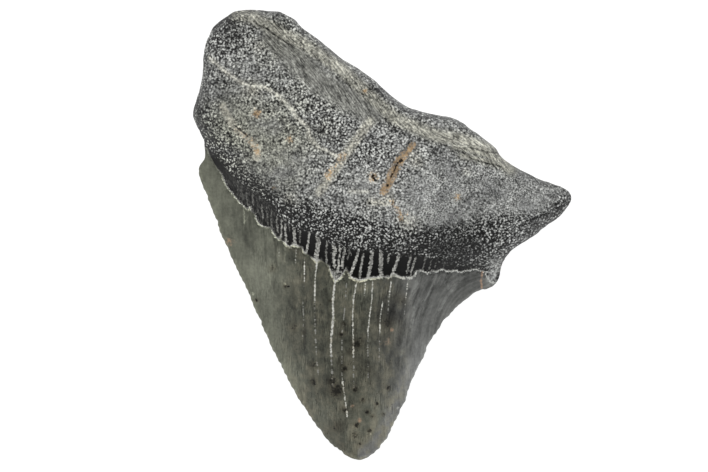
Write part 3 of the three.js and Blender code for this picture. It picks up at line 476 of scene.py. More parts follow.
# The material's noises: strength, scale (one or one for each axis), detail, roughness and
# distortion.
NOISES = {
    "ripple": (1, 1.4, 3, 0.6, 0), "rim crumbs": (1.5, 2.2, 3, 0.7, 0),
    "bold grain": (1.42, 2.05, 1, 0.55, 0.35), "fine grain": (1.85, 2.8, 1, 0.5, 0.25),
    "fine fibres": (1.15, (0.5, 2.5, 1), 2, 0.7, 0.3),
    "broad fibres": (0.4, (0.16, 1.1, 1), 2, 0.6, 0), "clumps": (1, 0.6, 3, 0.6, 0),
    "patches": (1, 0.17, 3, 0.55, 0), "bone specks": (1, 1.7, 2, 0.6, 0),
    "band streaks": (1, (2.4, 0.528, 2.4), 3, 0.6, 0), "band specks": (1, 2.2, 2, 0.65, 0),
    "hair": (1, (3.6, 0.5, 1), 3, 0.7, 0.35), "broad growth": (1, (0.9, 0.12, 1), 3, 0.6, 0),
    "dark streaks": (1, (2.4, 0.16, 1), 3, 0.65, 0.3), "bare places": (1, 0.25, 2, 0.5, 0),
    "cloud": (1, (0.42, 0.294, 0.42), 4, 0.66, 0), "enamel specks": (1, 1.5, 3, 0.65, 0),
    "crack crumbs": (1, 2, 2, 0.65, 0), "dashes": (1, 1, 3, 0.7, 0),
}
CELL_SCALE = 1.85
PORE_SCALE = 0.36
# Where the dashes' noise is read: how far apart for two cracks, and how fast along a crack.
DASH_PLACE = (7.3, 1.1)

# The material's hues, as colours from 0 to 255.
HUES = {
    "bone": (125, 126, 125), "warm bone": (126, 127, 117), "tan": (151, 149, 138),
    "fibres": (126, 126, 117), "rust": (148, 126, 98), "band": (126, 126, 122),
    # The right side's bluer enamel hue and the pale hue by the blades are a painted sheen.
    "enamel": (110, 112, 100), "right enamel": (113, 114, 111), "painted flank sheen": (122, 123, 121),
    "brown enamel": (88, 86, 75), "crack": (190, 190, 183), "enamel rust": (142, 116, 96),
    "smudge": (92, 86, 70),
}
Look = namedtuple("Look", "level tint roughness height")

# The stage, in metres.
FLOOR_HALF = 6
FLOOR_DROP = 0.0001
FLOOR_SURFACE = {
    "Base Color": (0.25, 0.25, 0.25, 1), "Roughness": 0.9,
    "Emission Color": (1, 1, 1, 1), "Emission Strength": 0.9,
}
CAMERA_REACH = 10


def smooth_step(low, high, value):
    """0 below low, 1 above high, and a smooth rise between them."""
    share = np.clip((value - low) / (high - low), 0, 1)
    return share * share * (3 - 2 * share)


def line_place(line, x, y):
    """Each point's distance to a line in plan, its place along the line, and its side: 1 or -1."""
    nearest, along, side = np.full(len(x), np.inf), np.zeros(len(x)), np.ones(len(x))
    travelled = 0
    for (ax, ay), (bx, by) in zip(line, line[1:]):
        dx, dy = bx - ax, by - ay
        length = math.hypot(dx, dy)
        share = np.clip(((x - ax) * dx + (y - ay) * dy) / length**2, 0, 1)
        distance = np.hypot(x - ax - share * dx, y - ay - share * dy)
        closer = distance < nearest
        along = np.where(closer, travelled + share * length, along)
        side = np.where(closer, np.where(dx * (y - ay) > dy * (x - ax), 1, -1), side)
        nearest = np.minimum(distance, nearest)
        travelled += length
    return nearest, along, side


def distance_above(line, x, y):
    """Distance to a line that runs from left to right, negative below it."""
    line_x, line_y = np.array(line).T
    return np.sign(y - np.interp(x, line_x, line_y)) * line_place(line, x, y)[0]


def across_at(line, y):
    """Where a line that runs down the tooth is at each height."""
    line_x, line_y = np.array(line).T
    return np.interp(-y, -line_y, line_x)


def line_marks(lines, x, y):
    """The strongest of several soft-edged lines at each point."""
    marks = np.zeros(len(x))
    for line, half_width, strength in lines:
        distance, _, _ = line_place(line, x, y)
        edge = 1 - smooth_step(half_width * 0.45, half_width * 1.55, distance)
        marks = np.maximum(marks, strength * edge)
    return marks


def spot_marks(spots, x, y):
    """The sum of soft round spots at each point."""
    marks = np.zeros(len(x))
    for spot_x, spot_y, radius, strength in spots:
        distance = np.hypot(x - spot_x, y - spot_y)
        marks += strength * np.exp(-((distance / radius) ** 2))
    return marks


def between(bottom, top, y, fade):
    """1 between two heights, and a fade at both of them."""
    return smooth_step(*fade, y - bottom) * smooth_step(*fade, top - y)


def strand_field(name, strands, surface):
    """Marks of where each point lies among strands that run down, listed from left to right.

    The phase is a whole number on every strand, so that the material finds each centre however
    coarse the mesh is. The gap is the spacing of the strands there. The width is that of the
    nearest one, 0 beyond its ends, and the strength is what the list says last about it.
    """
    x, y = surface.x, surface.y
    centres = [across_at(points, y) for points, _, _ in strands]
    centres = np.array([centres[0] - STRAND_MARGIN, *centres, centres[-1] + STRAND_MARGIN])
    before = np.clip((centres < x).sum(axis=0) - 1, 0, len(centres) - 2)
    places = np.arange(len(x))
    left, right = centres[before, places], centres[before + 1, places]
    phase = before + (x - left) / np.maximum(right - left, LEAST_GAP)
    nearest = np.clip(np.round(phase).astype(int) - 1, 0, len(strands) - 1)
    ends = [(points[-1][1], points[0][1], width) for points, width, _ in strands]
    bottom, top, width = np.array(ends)[nearest].T
    inside = (x >= centres[0]) & (x <= centres[-1])
    return {
        f"{name}_phase": phase,
        f"{name}_gap": right - left,
        f"{name}_width": width * between(bottom, top, y, STRAND_FADE) * inside * surface.lingual,
        f"{name}_strength": np.array([strength for _, _, strength in strands])[nearest],
    }


def growth_place(x, y, front):
    """Coordinates across and along the enamel's growth lines."""
    start_x, start_y = LEAN_START
    lean = LEAN * (np.maximum(y - start_y, 0) * np.maximum(x - start_x, 0)) ** 2
    return np.column_stack((x - lean, y, FACE_GAP * front))


def nearest_line(lines, x, y):
    """Each point's place at the nearest of several lines, and that line's tone.

    The place is the distance with the side of the line as its sign, which the material can read
    finely on a coarse mesh, then the plain distance and half the line's width.
    """
    place, tone = np.full((len(x), 3), np.inf), np.zeros(len(x))
    for line, half_width, line_tone in lines:
        distance, _, side = line_place(line, x, y)
        closer = distance < place[:, 1]
        mine = np.column_stack((side * distance, distance, np.full(len(x), half_width)))
        place[closer] = mine[closer]
        tone[closer] = line_tone
    return place, tone


def pit_offsets(x, y):
    """The offset of each point from its nearest pit, and that pit's radius, 0 where it is far."""
    offsets = np.full((len(x), 3), PIT_REACH)
    radii, nearest = np.zeros(len(x)), np.full(len(x), PIT_REACH)
    for pit_x, pit_y, radius in PITS:
        distance = np.hypot(x - pit_x, y - pit_y)
        mine = distance < nearest
        offsets[mine] = np.column_stack((x - pit_x, y - pit_y, np.zeros(len(x))))[mine]
        radii[mine] = radius
        nearest = np.minimum(nearest, distance)
    return offsets, radii


def cad_surface(node):
    """The corners and triangles of a CAD node, in millimetres, with equal corners merged."""
    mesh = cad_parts[node].data
    mesh.calc_loop_triangles()
    corners = np.array([vertex.co for vertex in mesh.vertices], float) / MM
    triangles = np.array([triangle.vertices for triangle in mesh.loop_triangles])
    rounded = np.round(corners, MERGE_DECIMALS)
    _, first, merged = np.unique(rounded, axis=0, return_index=True, return_inverse=True)
    return corners[first], merged.reshape(-1)[triangles]


def face_normals(points, triangles):
    """Each triangle's normal, as long as twice its area."""
    a, b, c = points[triangles.T]
    return np.cross(b - a, c - a)


def unit(vectors):
    return vectors / np.maximum(np.linalg.norm(vectors, axis=1, keepdims=True), 1e-12)


def gather(indices, values, count):
    """Adds up the values that fall on each index."""
    total = np.zeros((count, 3))
    np.add.at(total, indices, values)
    return total


def neighbours(edges, points):
    """How many edges meet at each point, and the sum of the points at their other ends."""
    number = np.bincount(edges.reshape(-1), minlength=len(points))[:, None]
    others = points[edges[:, ::-1].reshape(-1)]
    return number, gather(edges.reshape(-1), others, len(points))


def point_normals(points, triangles):
    """The mean direction of the faces round each point."""
    faces = np.tile(face_normals(points, triangles), (3, 1))
    return unit(gather(triangles.T.reshape(-1), faces, len(points)))


def loop_step(points, triangles):
    """One step of Loop subdivision, which keeps the edges where the surface folds sharply."""
    sides = np.sort(triangles[:, [[0, 1], [1, 2], [2, 0]]].reshape(-1, 2), axis=1)
    edges, edge_of = np.unique(sides, axis=0, return_inverse=True)
    edge_of = edge_of.reshape(-1)
    opposite = gather(edge_of, points[triangles[:, [2, 0, 1]].reshape(-1)], len(edges))
    normals = unit(face_normals(points, triangles))
    normal_sum = gather(edge_of, np.repeat(normals, 3, axis=0), len(edges))
    sharp = (normal_sum**2).sum(axis=1) / 2 - 1 < SHARP_COSINE

    ends = points[edges[:, 0]] + points[edges[:, 1]]
    edge_points = np.where(sharp[:, None], ends / 2, ends * 3 / 8 + opposite / 8)

    valence, around = neighbours(edges, points)
    weight = np.where(valence > 3, 3 / (8 * valence), 3 / 16)
    smooth = (1 - valence * weight) * points + weight * around
    folds, along_folds = neighbours(edges[sharp], points)
    folded = points * 3 / 4 + along_folds / 8
    moved = np.where(folds == 2, folded, np.where(folds > 2, points, smooth))

    a, b, c = triangles.T
    ab, bc, ca = edge_of.reshape(-1, 3).T + len(points)
    parts = [(a, ab, ca), (b, bc, ab), (c, ca, bc), (ab, bc, ca)]
    return np.vstack([moved, edge_points]), np.vstack([np.column_stack(part) for part in parts])


def waves(points, height, lengths, seed):
    """Smooth waves up and down; lengths is one length or one for each axis."""
    scaled = points / np.broadcast_to(lengths, 3) + seed
    return height * np.array([noise.noise(Vector(point)) for point in scaled])


class Surface:
    """The fine surface of the tooth, with the places of its features in plan."""

    def __init__(self, node):
        self.points, self.triangles = cad_surface(node)
        for _ in range(LOOP_STEPS):
            self.points, self.triangles = loop_step(self.points, self.triangles)
        x, y, _ = self.points.T
        self.x, self.y = x, y
        self.normals = point_normals(self.points, self.triangles)
        self.lingual = smooth_step(-FACE_TURN, FACE_TURN, self.normals[:, 2])
        on_front = self.lingual > 0.5
        back = distance_above(LABIAL_ENAMEL_LINE, x, y)
        self.above_enamel = np.where(on_front, distance_above(ENAMEL_LINE, x, y), back)
        above_band = distance_above(BAND_TOP, x, y)
        self.above_band = np.where(on_front, above_band, back - LABIAL_BAND_WIDTH)
        self.left, along_left, _ = line_place(LEFT_BLADE, x, y)
        self.right, along_right, _ = line_place(RIGHT_BLADE, x, y)
        self.blade = np.minimum(self.left, self.right)
        along_right += RIGHT_BLADE_START
        self.along_blade = np.where(self.left < self.right, along_left, along_right)

    def push(self, heights):
        """Moves the points out along their normals, but not below the floor."""
        self.points = self.points + self.normals * heights[:, None]
        self.points[:, 2] = np.maximum(self.points[:, 2], 0)

    def shift(self, distances):
        """Moves the points out in plan."""
        self.points[:, :2] += unit(self.normals[:, :2]) * distances[:, None]


def trim_outline(surface):
    """Small shifts of the outline in plan, where it isn't as plain as the CAD's."""
    wall = smooth_step(0.8, 0.2, np.abs(surface.normals[:, 2]))
    edge = np.exp(-((surface.blade / BLADE_REACH) ** 2))
    edge *= smooth_step(0.5, -0.5, surface.above_enamel)
    surface.shift(spot_marks(OUTLINE_SHIFTS, surface.x, surface.y) * np.maximum(wall, edge))


def roughen_root(surface):
    """Lumps and dimples of the root's bone, which fade out on the band and the enamel."""
    bone = smooth_step(-0.2, 1, surface.above_band)
    smoothness = line_marks(SMOOTH_LINES, surface.x, surface.y)
    heights = sum(waves(surface.points, *form) for form in ROOT_LUMPS)
    surface.push(heights * bone * (1 - LEVELLED * smoothness))


def wave_enamel(surface):
    """The enamel's long low swellings, and the folds by its edge on the labial face."""
    enamel = smooth_step(0.2, -1, surface.above_enamel)
    folded = smooth_step(-14, -1, surface.above_enamel) * (1 - surface.lingual)
    for form, share in ((ENAMEL_WAVES, 1), (LABIAL_FOLDS, folded)):
        surface.push(enamel * share * waves(surface.points, *form))


def wear_blades(surface):
    """Worn serrations, which show only in patches along the blade edges."""
    place = surface.along_blade
    line = np.column_stack((place, 0 * place, 0 * place))
    patches = 0.6 + waves(line, *SERRATION_PATCHES)
    teeth = 0.5 + 0.5 * np.sin(2 * math.pi * place / SERRATION_LENGTH + 3 * patches)
    reach = 1 - smooth_step(0.05, BLADE_ROUNDING, surface.blade)
    crown = smooth_step(0.5, -1.5, surface.above_enamel)
    chips = np.maximum(waves(line, *CHIPS), 0)
    depth = SERRATION_DEPTH * np.clip(patches, 0, 1) * teeth + chips
    surface.shift(-depth * reach * crown)


def sink_pits(surface):
    """Shallow pits of the mesh under the dark pits of the material."""
    depth = np.zeros(len(surface.points))
    for pit_x, pit_y, radius in PITS:
        distance = np.hypot(surface.x - pit_x, surface.y - pit_y) / radius / PIT_SPREAD
        depth = np.maximum(depth, PIT_DEPTH * radius * np.exp(-(distance**2)))
    surface.push(-depth * surface.lingual)


def lingual_marks(surface):
    """The spots and lines that only the lingual face has, by the names of their marks."""
    x, y = surface.x, surface.y
    spots = {
        "crust": CRUST_SPOTS, "smudges": SMUDGES, "brown": BROWN_SPOTS, "tone": TONE_SPOTS,
        "beads": RIM_BEADS, "contrast": CONTRAST_SPOTS, "tan": TAN_SPOTS, "rust": RUST_SPOTS,
    }
    lines = {"smoothness": SMOOTH_LINES, "fibres": FIBRE_LINES}
    marks = {name: spot_marks(places, x, y) for name, places in spots.items()}
    marks |= {name: line_marks(places, x, y) for name, places in lines.items()}
    marks["tan"] = np.maximum(marks["tan"], line_marks(TAN_LINES, x, y))
    marks["rust"] += line_marks(RUST_LINES, x, y)
    # The dark lower slope: partly darker bone, partly painted shade where it faces down.
    marks["shade"] = smooth_step(1.5, -2, distance_above(SHADE_TOP, x, y))
    marks["flank"] = smooth_step(0.3, -0.3, distance_above(FLANK_EDGE, x, y)) * (x > FLANK_START)
    # Painted shadow on the enamel just below its pale edge, stronger on the right.
    marks["painted_shadow_below_rim"] = 0.05 + 0.12 * smooth_step(6, 12, x)
    marks["band_grey"] = smooth_step(-21, -27, x) * smooth_step(-39, -34, x)
    return {name: values * surface.lingual for name, values in marks.items()}


def write_marks(mesh, surface):
    """Gives each point of the mesh the distances and masks that the material reads."""
    x, y, front = surface.x, surface.y, surface.lingual
    on_front = front > 0.5
    rib_along = line_place(BASAL_RIB, x, y)[1]
    across_rib = distance_above(BASAL_RIB, x, y) + FIBRE_SLANT * rib_along
    from_crack, along_crack, crack_side = line_place(RUST_CRACK, x, y)
    front_place, front_tone = nearest_line(FINE_LINES, x, y)
    back_place, back_tone = nearest_line(LABIAL_LINES, x, y)
    pit_offset, pit_radius = pit_offsets(x, y)
    marks = lingual_marks(surface) | strand_field("band", BAND_STRANDS, surface)
    marks |= strand_field("crack", ENAMEL_CRACKS, surface)
    whole_from, whole_to = marks["crack_strength"].T
    marks["crack_strength"] = between(whole_to, whole_from, y, DASH_FADE)
    marks["contrast"] -= LABIAL_CALM * (1 - front)
    rim_less = RIM_LESS_RIGHT * smooth_step(6, 12, x) + RIM_LESS_LEFT * smooth_step(-26, -32, x)
    marks |= {
        "above_enamel": surface.above_enamel,
        "above_band": surface.above_band,
        "rim": np.clip(1 - spot_marks(RIM_GAPS, x, y), 0, 1) * (0.35 + 0.65 * front),
        "rim_width": RIM_WIDTH - rim_less + marks.pop("beads"),
        "warmth": 0.15 + 0.85 * np.clip(spot_marks(WARM_SPOTS, x, y), 0, 1),
        "fineness": np.clip(spot_marks(FINE_SPOTS, x, y), 0, 1),
        "upward": surface.normals[:, 2],
        "blade": surface.blade,
        # Where a painted sheen lies along the right blade towards the tip.
        "painted_flank_sheen": smooth_step(-22, -32, y) * (surface.right < surface.left),
        "right_of_axis": x - across_at(CROWN_AXIS, y),
        "rib": np.column_stack((rib_along, across_rib, FACE_GAP * front)),
        "growth": growth_place(x, y, front),
        "line_place": np.where(on_front[:, None], front_place, back_place),
        "line_tone": np.where(on_front, front_tone, back_tone),
        "rust_crack": np.column_stack((crack_side * from_crack, along_crack, 0 * x)),
        "pit_offset": pit_offset,
        "pit_radius": pit_radius * front,
    }
    for name, values in marks.items():
        kind, field = ("FLOAT", "value") if values.ndim == 1 else ("FLOAT_VECTOR", "vector")
        attribute = mesh.attributes.new(name, kind, "POINT")
        attribute.data.foreach_set(field, np.ascontiguousarray(values, np.float32).reshape(-1))


def add_object(name, data):
    """Puts a new object into the scene."""
    made = bpy.data.objects.new(name, data)
    bpy.context.collection.objects.link(made)
    return made


def make_tooth():
    """The fine tooth that stands for the CAD solid."""
    surface = Surface("tooth")
    trim_outline(surface)
    wear_blades(surface)
    roughen_root(surface)
    wave_enamel(surface)
    sink_pits(surface)
    mesh = bpy.data.meshes.new("fossil_tooth")
    mesh.from_pydata((surface.points * MM).tolist(), [], surface.triangles.tolist())
    mesh.shade_smooth()
    write_marks(mesh, surface)
    mesh.materials.append(fossil_material())
    tooth = add_object("fossil_tooth", mesh)
    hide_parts("tooth")
    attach(tooth, "root")


def add_node(tree, kind, inputs, output=0, **settings):
    """A new node with some settings and inputs; the result is one of its outputs."""
    node = tree.nodes.new(kind)
    for name, value in settings.items():
        setattr(node, name, value)
    for key, value in inputs.items():
        join(value, node.inputs[key])
    return Value(tree, node.outputs[output])


def join(value, socket):
    """Gives a socket a value, which is a plain one or another node's output."""
    if isinstance(value, Value):
        value.tree.links.new(value.socket, socket)
    else:
        socket.default_value = value


class Value:
    """A node's output; sums, products and the methods of values add further nodes."""

    def __init__(self, tree, socket):
        self.tree = tree
        self.socket = socket

    def node(self, kind, inputs, output=0, **settings):
        return add_node(self.tree, kind, inputs, output, **settings)

    def math(self, operation, *others):
        return self.node("ShaderNodeMath", dict(enumerate((self, *others))), operation=operation)

    __add__ = partialmethod(math, "ADD")
    __sub__ = partialmethod(math, "SUBTRACT")
    __mul__ = partialmethod(math, "MULTIPLY")
    __abs__ = partialmethod(math, "ABSOLUTE")
    at_least = partialmethod(math, "MAXIMUM")
    at_most = partialmethod(math, "MINIMUM")

    def __rsub__(self, other):
        return self.math("MULTIPLY_ADD", -1, other)

    def step(self, low, high, to_low=0, to_high=1):
        """A smooth change from to_low to to_high as the value goes from low to high."""
        inputs = dict(enumerate((self, low, high, to_low, to_high)))
        return self.node("ShaderNodeMapRange", inputs, interpolation_type="SMOOTHSTEP")

    def mix(self, first, second):
        """A number between two others, of which this is the share of the second."""
        return self.node("ShaderNodeMix", {0: self, 2: first, 3: second}, data_type="FLOAT")

    def blend(self, first, second):
        """A colour between two others, of which this is the share of the second."""
        return self.node("ShaderNodeMix", {0: self, 6: first, 7: second}, 2, data_type="RGBA")

    def scaled(self, scale):
        return self.node("ShaderNodeVectorMath", {0: self, 1: scale}, operation="MULTIPLY")

    def length(self):
        return self.node("ShaderNodeVectorMath", {0: self}, "Value", operation="LENGTH")

    def part(self, axis):
        return self.node("ShaderNodeSeparateXYZ", {0: self}, axis)

    def noise(self, name):
        """One of the material's noises at this place, on both sides of 0."""
        strength, scale, detail, roughness, distortion = NOISES[name]
        place = self
        if isinstance(scale, tuple):
            place, scale = self.scaled(scale), 1
        inputs = {
            "Vector": place, "Scale": scale, "Detail": detail, "Roughness": roughness,
            "Distortion": distortion,
        }
        height = self.node("ShaderNodeTexNoise", inputs, "Fac")
        return height.math("MULTIPLY_ADD", strength, strength * -0.5)

    def cells(self, scale):
        """The distance to the nearest of many scattered points."""
        return self.node("ShaderNodeTexVoronoi", {"Vector": self, "Scale": scale}, "Distance")


def new_material(name):
    """A material and its shader."""
    material = bpy.data.materials.new(name)
    material.use_nodes = True
    return material, material.node_tree.nodes["Principled BSDF"]


def hue(name):
    """What a grey is multiplied by to take a hue."""
    red, green, blue = HUES[name]
    return (*((value / green) ** GAMMA for value in (red, green, blue)), 1)


def layer(share, under, over):
    """One look over another, by a share from 0 to 1."""
    return Look(
        share.mix(under.level, over.level),
        share.blend(under.tint, over.tint),
        share.mix(under.roughness, over.roughness),
        share.mix(under.height, over.height),
    )


def strand_marks(mark, name, wander):
    """1 on the strands of one family and 0 between them, from its marks on the mesh."""
    offset = (mark(f"{name}_phase") + 0.5).math("FRACT") - 0.5
    width = mark(f"{name}_width")
    reach = width * 0.5 + wander - abs(offset) * mark(f"{name}_gap")
    return reach.step(-0.1, 0.1) * width.step(0.02, 0.1)


def ragged(mark, name, specks):
    """A soft mark with its edge broken up by specks, and nothing where there is no mark."""
    source, ripple, low, high = RAGGED[name]
    area = mark(source)
    return (area + specks * ripple).step(low, high) * area.step(0.05, 0.25)


def fine_lines(mark, ripple, speckle):
    """How much the nearest fine line changes the level, with the line a little broken up."""
    place = mark("line_place", "Vector")
    aside = abs(place.part(0) + ripple * RIPPLES["fine line"])
    shown = (place.part(2) - aside).step(-0.12, 0.08) * place.part(1).step(1.1, 0.7)
    return shown * speckle.step(-0.2, 0, 0.35, 1) * mark("line_tone")


def root_grain(mark, place):
    """The bone's pale grains and dark gaps, which turn to fibres along the rib."""
    bold = place.noise("bold grain") + (0.5 - place.cells(CELL_SCALE)) * GAINS["cells"]
    rib = mark("rib", "Vector")
    fibres = rib.noise("fine fibres") + rib.noise("broad fibres")
    grain = mark("fineness").mix(bold, place.noise("fine grain"))
    grain = grain * (1 - mark("smoothness") * 0.8)
    return grain + mark("fibres") * fibres


def rust_slit(mark, ripple):
    """The dark slit along the middle of the rusty crack."""
    crack = mark("rust_crack", "Vector")
    aside, along = abs(crack.part(0) + ripple * RIPPLES["slit"]), crack.part(1)
    whole = along.step(4.2, 5.2) * along.step(10, 8.8) * ripple.step(-0.16, -0.02)
    return aside.step(0.26, 0.08) * whole


def root_look(mark, place, ripple):
    """Granular bone with tan veins, rust stains, a dark lower slope that is partly painted shade,
    and painted shade on steep walls.
    """
    place = place.scaled((1, 1, GRAIN_FLATNESS))
    clumps, patches = place.noise("clumps"), place.noise("patches")
    speckle = place.noise("bone specks")
    grain = root_grain(mark, place)
    shade, fibres = mark("shade"), mark("fibres")
    # Steep walls have weaker grain and a lower level; the lower level is painted shade.
    steep = mark("upward").step(0.8, 0.3)
    contrast = mark("contrast") + patches.step(-0.15, 0.15, 0.9, 1.25) + shade * 1.1
    tan = mark("tan") * speckle.step(-0.2, 0.1, 0.45, 1)
    lines = fine_lines(mark, ripple, speckle)
    level = (
        grain * (contrast * steep.mix(1, 0.9))
        + mark("tone") + clumps * fibres.mix(0.62, 0.3) + patches * GAINS["patches"]
        + shade * GAINS["slope"] + steep * GAINS["wall"] + LEVELS["bone"]
        + tan * GAINS["tan"] + lines
    )

    warm = patches.step(-0.2, 0.1, 0.3, 1) * mark("warmth")
    tint = tan.blend(warm.blend(hue("bone"), hue("warm bone")), hue("tan"))
    tint = (fibres * 0.5).blend(tint, hue("fibres"))
    rust = ragged(mark, "bone rust", speckle)
    tint = rust.blend(tint, hue("rust"))
    level = (rust * 0.5).mix(level, LEVELS["rust"])

    pores = place.cells(PORE_SCALE).step(0.13, 0.08) * mark("upward").step(0.6, 0.3)
    slit = rust_slit(mark, ripple).at_least(pores)
    darkest, palest = BONE_RANGE
    level = slit.mix(level.at_most(palest).at_least(darkest), LEVELS["slit"])
    height = grain * RELIEF["grain"] + clumps * RELIEF["clumps"] + (lines - slit) * RELIEF["lines"]
    return Look(level, tint, grain.step(-0.2, 0.2, 0.5, 0.72), height)


def band_look(mark, place, above_enamel):
    """The bourlette: near-black and smooth, crossed by pale mineral strands with a pale foot."""
    streaks = place.noise("band streaks")
    speckle = place.noise("band specks")
    grey = mark("band_grey") * streaks.step(-0.15, 0.15, 0, 0.22)
    dark = streaks.step(-0.1, 0.3, 0.02, 0.1) + grey
    strands = strand_marks(mark, "band", speckle * RIPPLES["strand"])
    foot = above_enamel.step(0.9, 0.1) * mark("rim") * speckle.step(-0.03, 0.12, 0, 0.9)
    crust = ragged(mark, "crust", speckle)
    pale = mark("band_strength").mix(LEVELS["weak strand"], speckle.step(-0.2, 0.2, 0.4, 0.9))
    level = foot.at_least(crust).mix(dark, speckle.step(-0.15, 0.2, 0.3, 0.75))
    level = strands.mix(level, pale)
    height = strands * RELIEF["strands"] + (streaks + 0.5) * RELIEF["streaks"]
    return Look(level, hue("band"), strands.mix(0.42, 0.62), height)


def enamel_cracks(mark, place):
    """Pale cracks in the enamel, whole near the root and broken into dashes further down."""
    apart, along = DASH_PLACE
    number = mark("crack_phase").math("ROUND")
    dash_inputs = {0: number * apart, 1: place.part(1) * along}
    dashes = place.node("ShaderNodeCombineXYZ", dash_inputs).noise("dashes")
    dashes = dashes.step(-0.08, 0.06, -0.42, -0.03)
    strength = mark("crack_strength")
    crumbs = place.noise("crack crumbs")
    wander = crumbs * RIPPLES["crack"] + strength.mix(dashes, dashes * 0.25)
    whole_level = crumbs.step(-0.15, 0.1, 0.55, 0.85)
    return strand_marks(mark, "crack", wander), strength.mix(LEVELS["dash"], whole_level)


def enamel_look(mark, place, ripple):
    """Satin enamel: grey-green, browner and darker in the middle, with growth lines, cracks and
    smudges, and a painted sheen on its sides and along its blades.
    """
    growth = mark("growth", "Vector")
    hair, cloud, specks = growth.noise("hair"), place.noise("cloud"), place.noise("enamel specks")
    bare = place.noise("bare places").step(-0.08, 0.1, 0.05, 1)
    aside, blade = mark("right_of_axis"), mark("blade")
    left_of_right_flank = aside.step(16, 9)
    middle = aside.step(-19, -11) * left_of_right_flank
    hairy = aside.step(-27, -17) * left_of_right_flank
    # The right side's bluer tint, the slight lift near the blades and the pale band along the right
    # blade near the tip are a painted sheen.
    right = aside.step(2, 15)
    flank = blade.step(5.2, 1.2)
    painted_flank_sheen = blade.step(3.8, 1.6) * mark("painted_flank_sheen")
    streaks = growth.noise("dark streaks").step(0.06, 0.18) * middle.mix(0.03, 0.13)
    level = (
        middle.mix(LEVELS["side enamel"], LEVELS["middle enamel"]) + mark("tone")
        + cloud * (middle.mix(0.32, 0.42) * flank.mix(1, 0.55))
        + flank * GAINS["flank"] + painted_flank_sheen * GAINS["painted flank sheen"]
        + hair * (hairy.mix(0.1, 0.45) * bare)
        + growth.noise("broad growth") * right.mix(0.18, 0.4)
        + specks * GAINS["specks"] - specks.step(0.1, 0.22) * middle.mix(0.03, 0.16)
        - streaks * bare
        + blade.step(0.9, 0.1, 0, 0.12) * (specks + 0.5)
        + fine_lines(mark, ripple, specks)
    )
    brown = middle * cloud.step(-0.12, 0.14, 0, 0.8)
    tint = painted_flank_sheen.blend(right.blend(hue("enamel"), hue("right enamel")), hue("painted flank sheen"))
    tint = brown.at_least(mark("brown")).at_most(1).blend(tint, hue("brown enamel"))

    cracks, crack_level = enamel_cracks(mark, place)
    rust = ragged(mark, "enamel rust", specks)
    stain = mark("smudges") * 0.6
    tint = (rust * 0.8).blend(cracks.blend(tint, hue("crack")), hue("enamel rust"))
    tint = stain.blend(tint, hue("smudge"))
    level = cracks.mix(level, crack_level) + rust * GAINS["enamel rust"] + stain * GAINS["stain"]
    smudge = ragged(mark, "smudge", specks)
    level = (smudge * 0.85).mix(level, LEVELS["smudge"])
    fleck = ragged(mark, "fleck", specks)
    level = (fleck * 0.8).mix(level, LEVELS["fleck"])
    height = hair * RELIEF["hair"] + cracks * RELIEF["cracks"] + smudge * RELIEF["smudge"]
    return Look(level, tint, cloud.step(-0.2, 0.2, 0.34, 0.46), height)


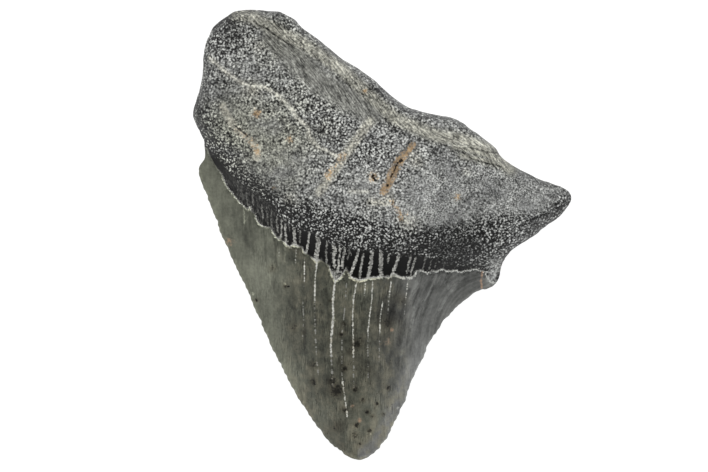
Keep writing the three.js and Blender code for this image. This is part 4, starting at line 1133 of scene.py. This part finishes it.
def fossil_material():
    """Bone, band and enamel in one material, parted along the lines that the mesh carries."""
    material, shader = new_material("fossil_tooth")
    tree = material.node_tree

    def mark(name, output="Fac"):
        """What the mesh carries under a name."""
        return add_node(tree, "ShaderNodeAttribute", {}, output, attribute_name=name)

    place = add_node(tree, "ShaderNodeTexCoord", {}, "Object").scaled((1 / MM,) * 3)
    ripple = place.noise("ripple")
    above_enamel = mark("above_enamel") + ripple * RIPPLES["enamel edge"]
    above_band = mark("above_band") + ripple * RIPPLES["band top"]
    on_band = above_enamel.step(-0.08, 0.08)
    on_root = above_band.step(-0.4, 0.4).at_least(mark("flank") * on_band)
    look = layer(on_band, enamel_look(mark, place, ripple), band_look(mark, place, above_enamel))
    look = layer(on_root, look, root_look(mark, place, ripple))

    crumbs = place.noise("rim crumbs")
    rim = (mark("rim_width") - abs(above_enamel) - crumbs).step(-0.08, 0.08)
    rim = rim * mark("rim") * ripple.step(-0.16, 0, 0.3, 1)
    # A painted shadow on the enamel just below its pale edge.
    shadow_below_rim = above_enamel.step(-1.1, -0.3) * above_enamel.step(0, -0.2)
    shadow_below_rim = shadow_below_rim * ripple.step(-0.05, 0.12) * mark("painted_shadow_below_rim")
    level = rim.mix(look.level - shadow_below_rim, crumbs * GAINS["crumbs"] + LEVELS["rim"])
    pit_radius = mark("pit_radius")
    pit_depth = pit_radius - mark("pit_offset", "Vector").length() + ripple * RIPPLES["pit"]
    in_pit = pit_depth.step(-0.12, 0.14) * pit_radius.step(0.05, 0.2)
    level = (in_pit * 0.9).mix(level, LEVELS["pit"])

    height = look.height + above_enamel.step(-0.15, 0.15, 0, RELIEF["edge"])
    height = height + rim * RELIEF["rim"] + in_pit * RELIEF["pit"]
    bump = place.node("ShaderNodeBump", {"Strength": 1, "Distance": MM, "Height": height})
    grey = level.at_least(DARKEST).math("POWER", GAMMA)
    shade = place.node("ShaderNodeVectorMath", {0: look.tint, 3: grey}, operation="SCALE")
    shader.inputs["Specular IOR Level"].default_value = 0.2
    join(shade, shader.inputs["Base Color"])
    join(look.roughness, shader.inputs["Roughness"])
    join(bump, shader.inputs["Normal"])
    return material


def make_floor():
    """A plain pale floor that glows a little, like a lit table."""
    material, shader = new_material("floor")
    for name, value in FLOOR_SURFACE.items():
        shader.inputs[name].default_value = value
    sides = ((-1, -1), (1, -1), (1, 1), (-1, 1))
    corners = [(x * FLOOR_HALF, y * FLOOR_HALF, 0) for x, y in sides]
    mesh = bpy.data.meshes.new("floor")
    mesh.from_pydata(corners, [], [(0, 1, 2, 3)])
    mesh.materials.append(material)
    floor = add_object("floor", mesh)
    floor.location.z = -FLOOR_DROP


def make_area_light(name, place, size, power, tint):
    """A square soft light that faces the tooth."""
    light = bpy.data.lights.new(name, "AREA")
    light.size = size
    light.energy = power
    light.color = tint
    lamp = add_object(name, light)
    lamp.location = place
    lamp.rotation_euler = Vector(place).to_track_quat("Z", "Y").to_euler()


def make_world():
    """A soft white tent, bright all round and dimmer straight overhead."""
    world = bpy.data.worlds.new("studio")
    world.use_nodes = True
    background = world.node_tree.nodes["Background"]
    upward = add_node(world.node_tree, "ShaderNodeTexCoord", {}, "Generated").part(2)
    join(upward.step(0.4, 0.95, 1, 0.15), background.inputs["Strength"])
    background.inputs["Color"].default_value = (1, 1, 1, 1)
    bpy.context.scene.world = world


def make_camera():
    """Straight above the tooth, far enough away that its outline isn't skewed."""
    camera_data = bpy.data.cameras.new("camera")
    camera_data.lens = LENS
    camera_data.sensor_width = SENSOR_WIDTH
    camera_data.clip_end = CAMERA_REACH
    distance = LENS / SENSOR_WIDTH * PHOTO_WIDTH * MM_PER_PIXEL
    camera = add_object("camera", camera_data)
    camera.location = Vector((*VIEW_CENTRE, VIEW_PLANE_HEIGHT + distance)) * MM
    bpy.context.scene.camera = camera


make_camera()
make_tooth()
make_floor()
make_world()
make_area_light("key", (-0.45, 0.65, 0.75), 0.5, 5, (1, 0.99, 0.97))
make_area_light("side", (0.8, 0.05, 0.4), 0.5, 1.6, (0.97, 0.98, 1))
bpy.context.scene.view_settings.view_transform = "Standard"
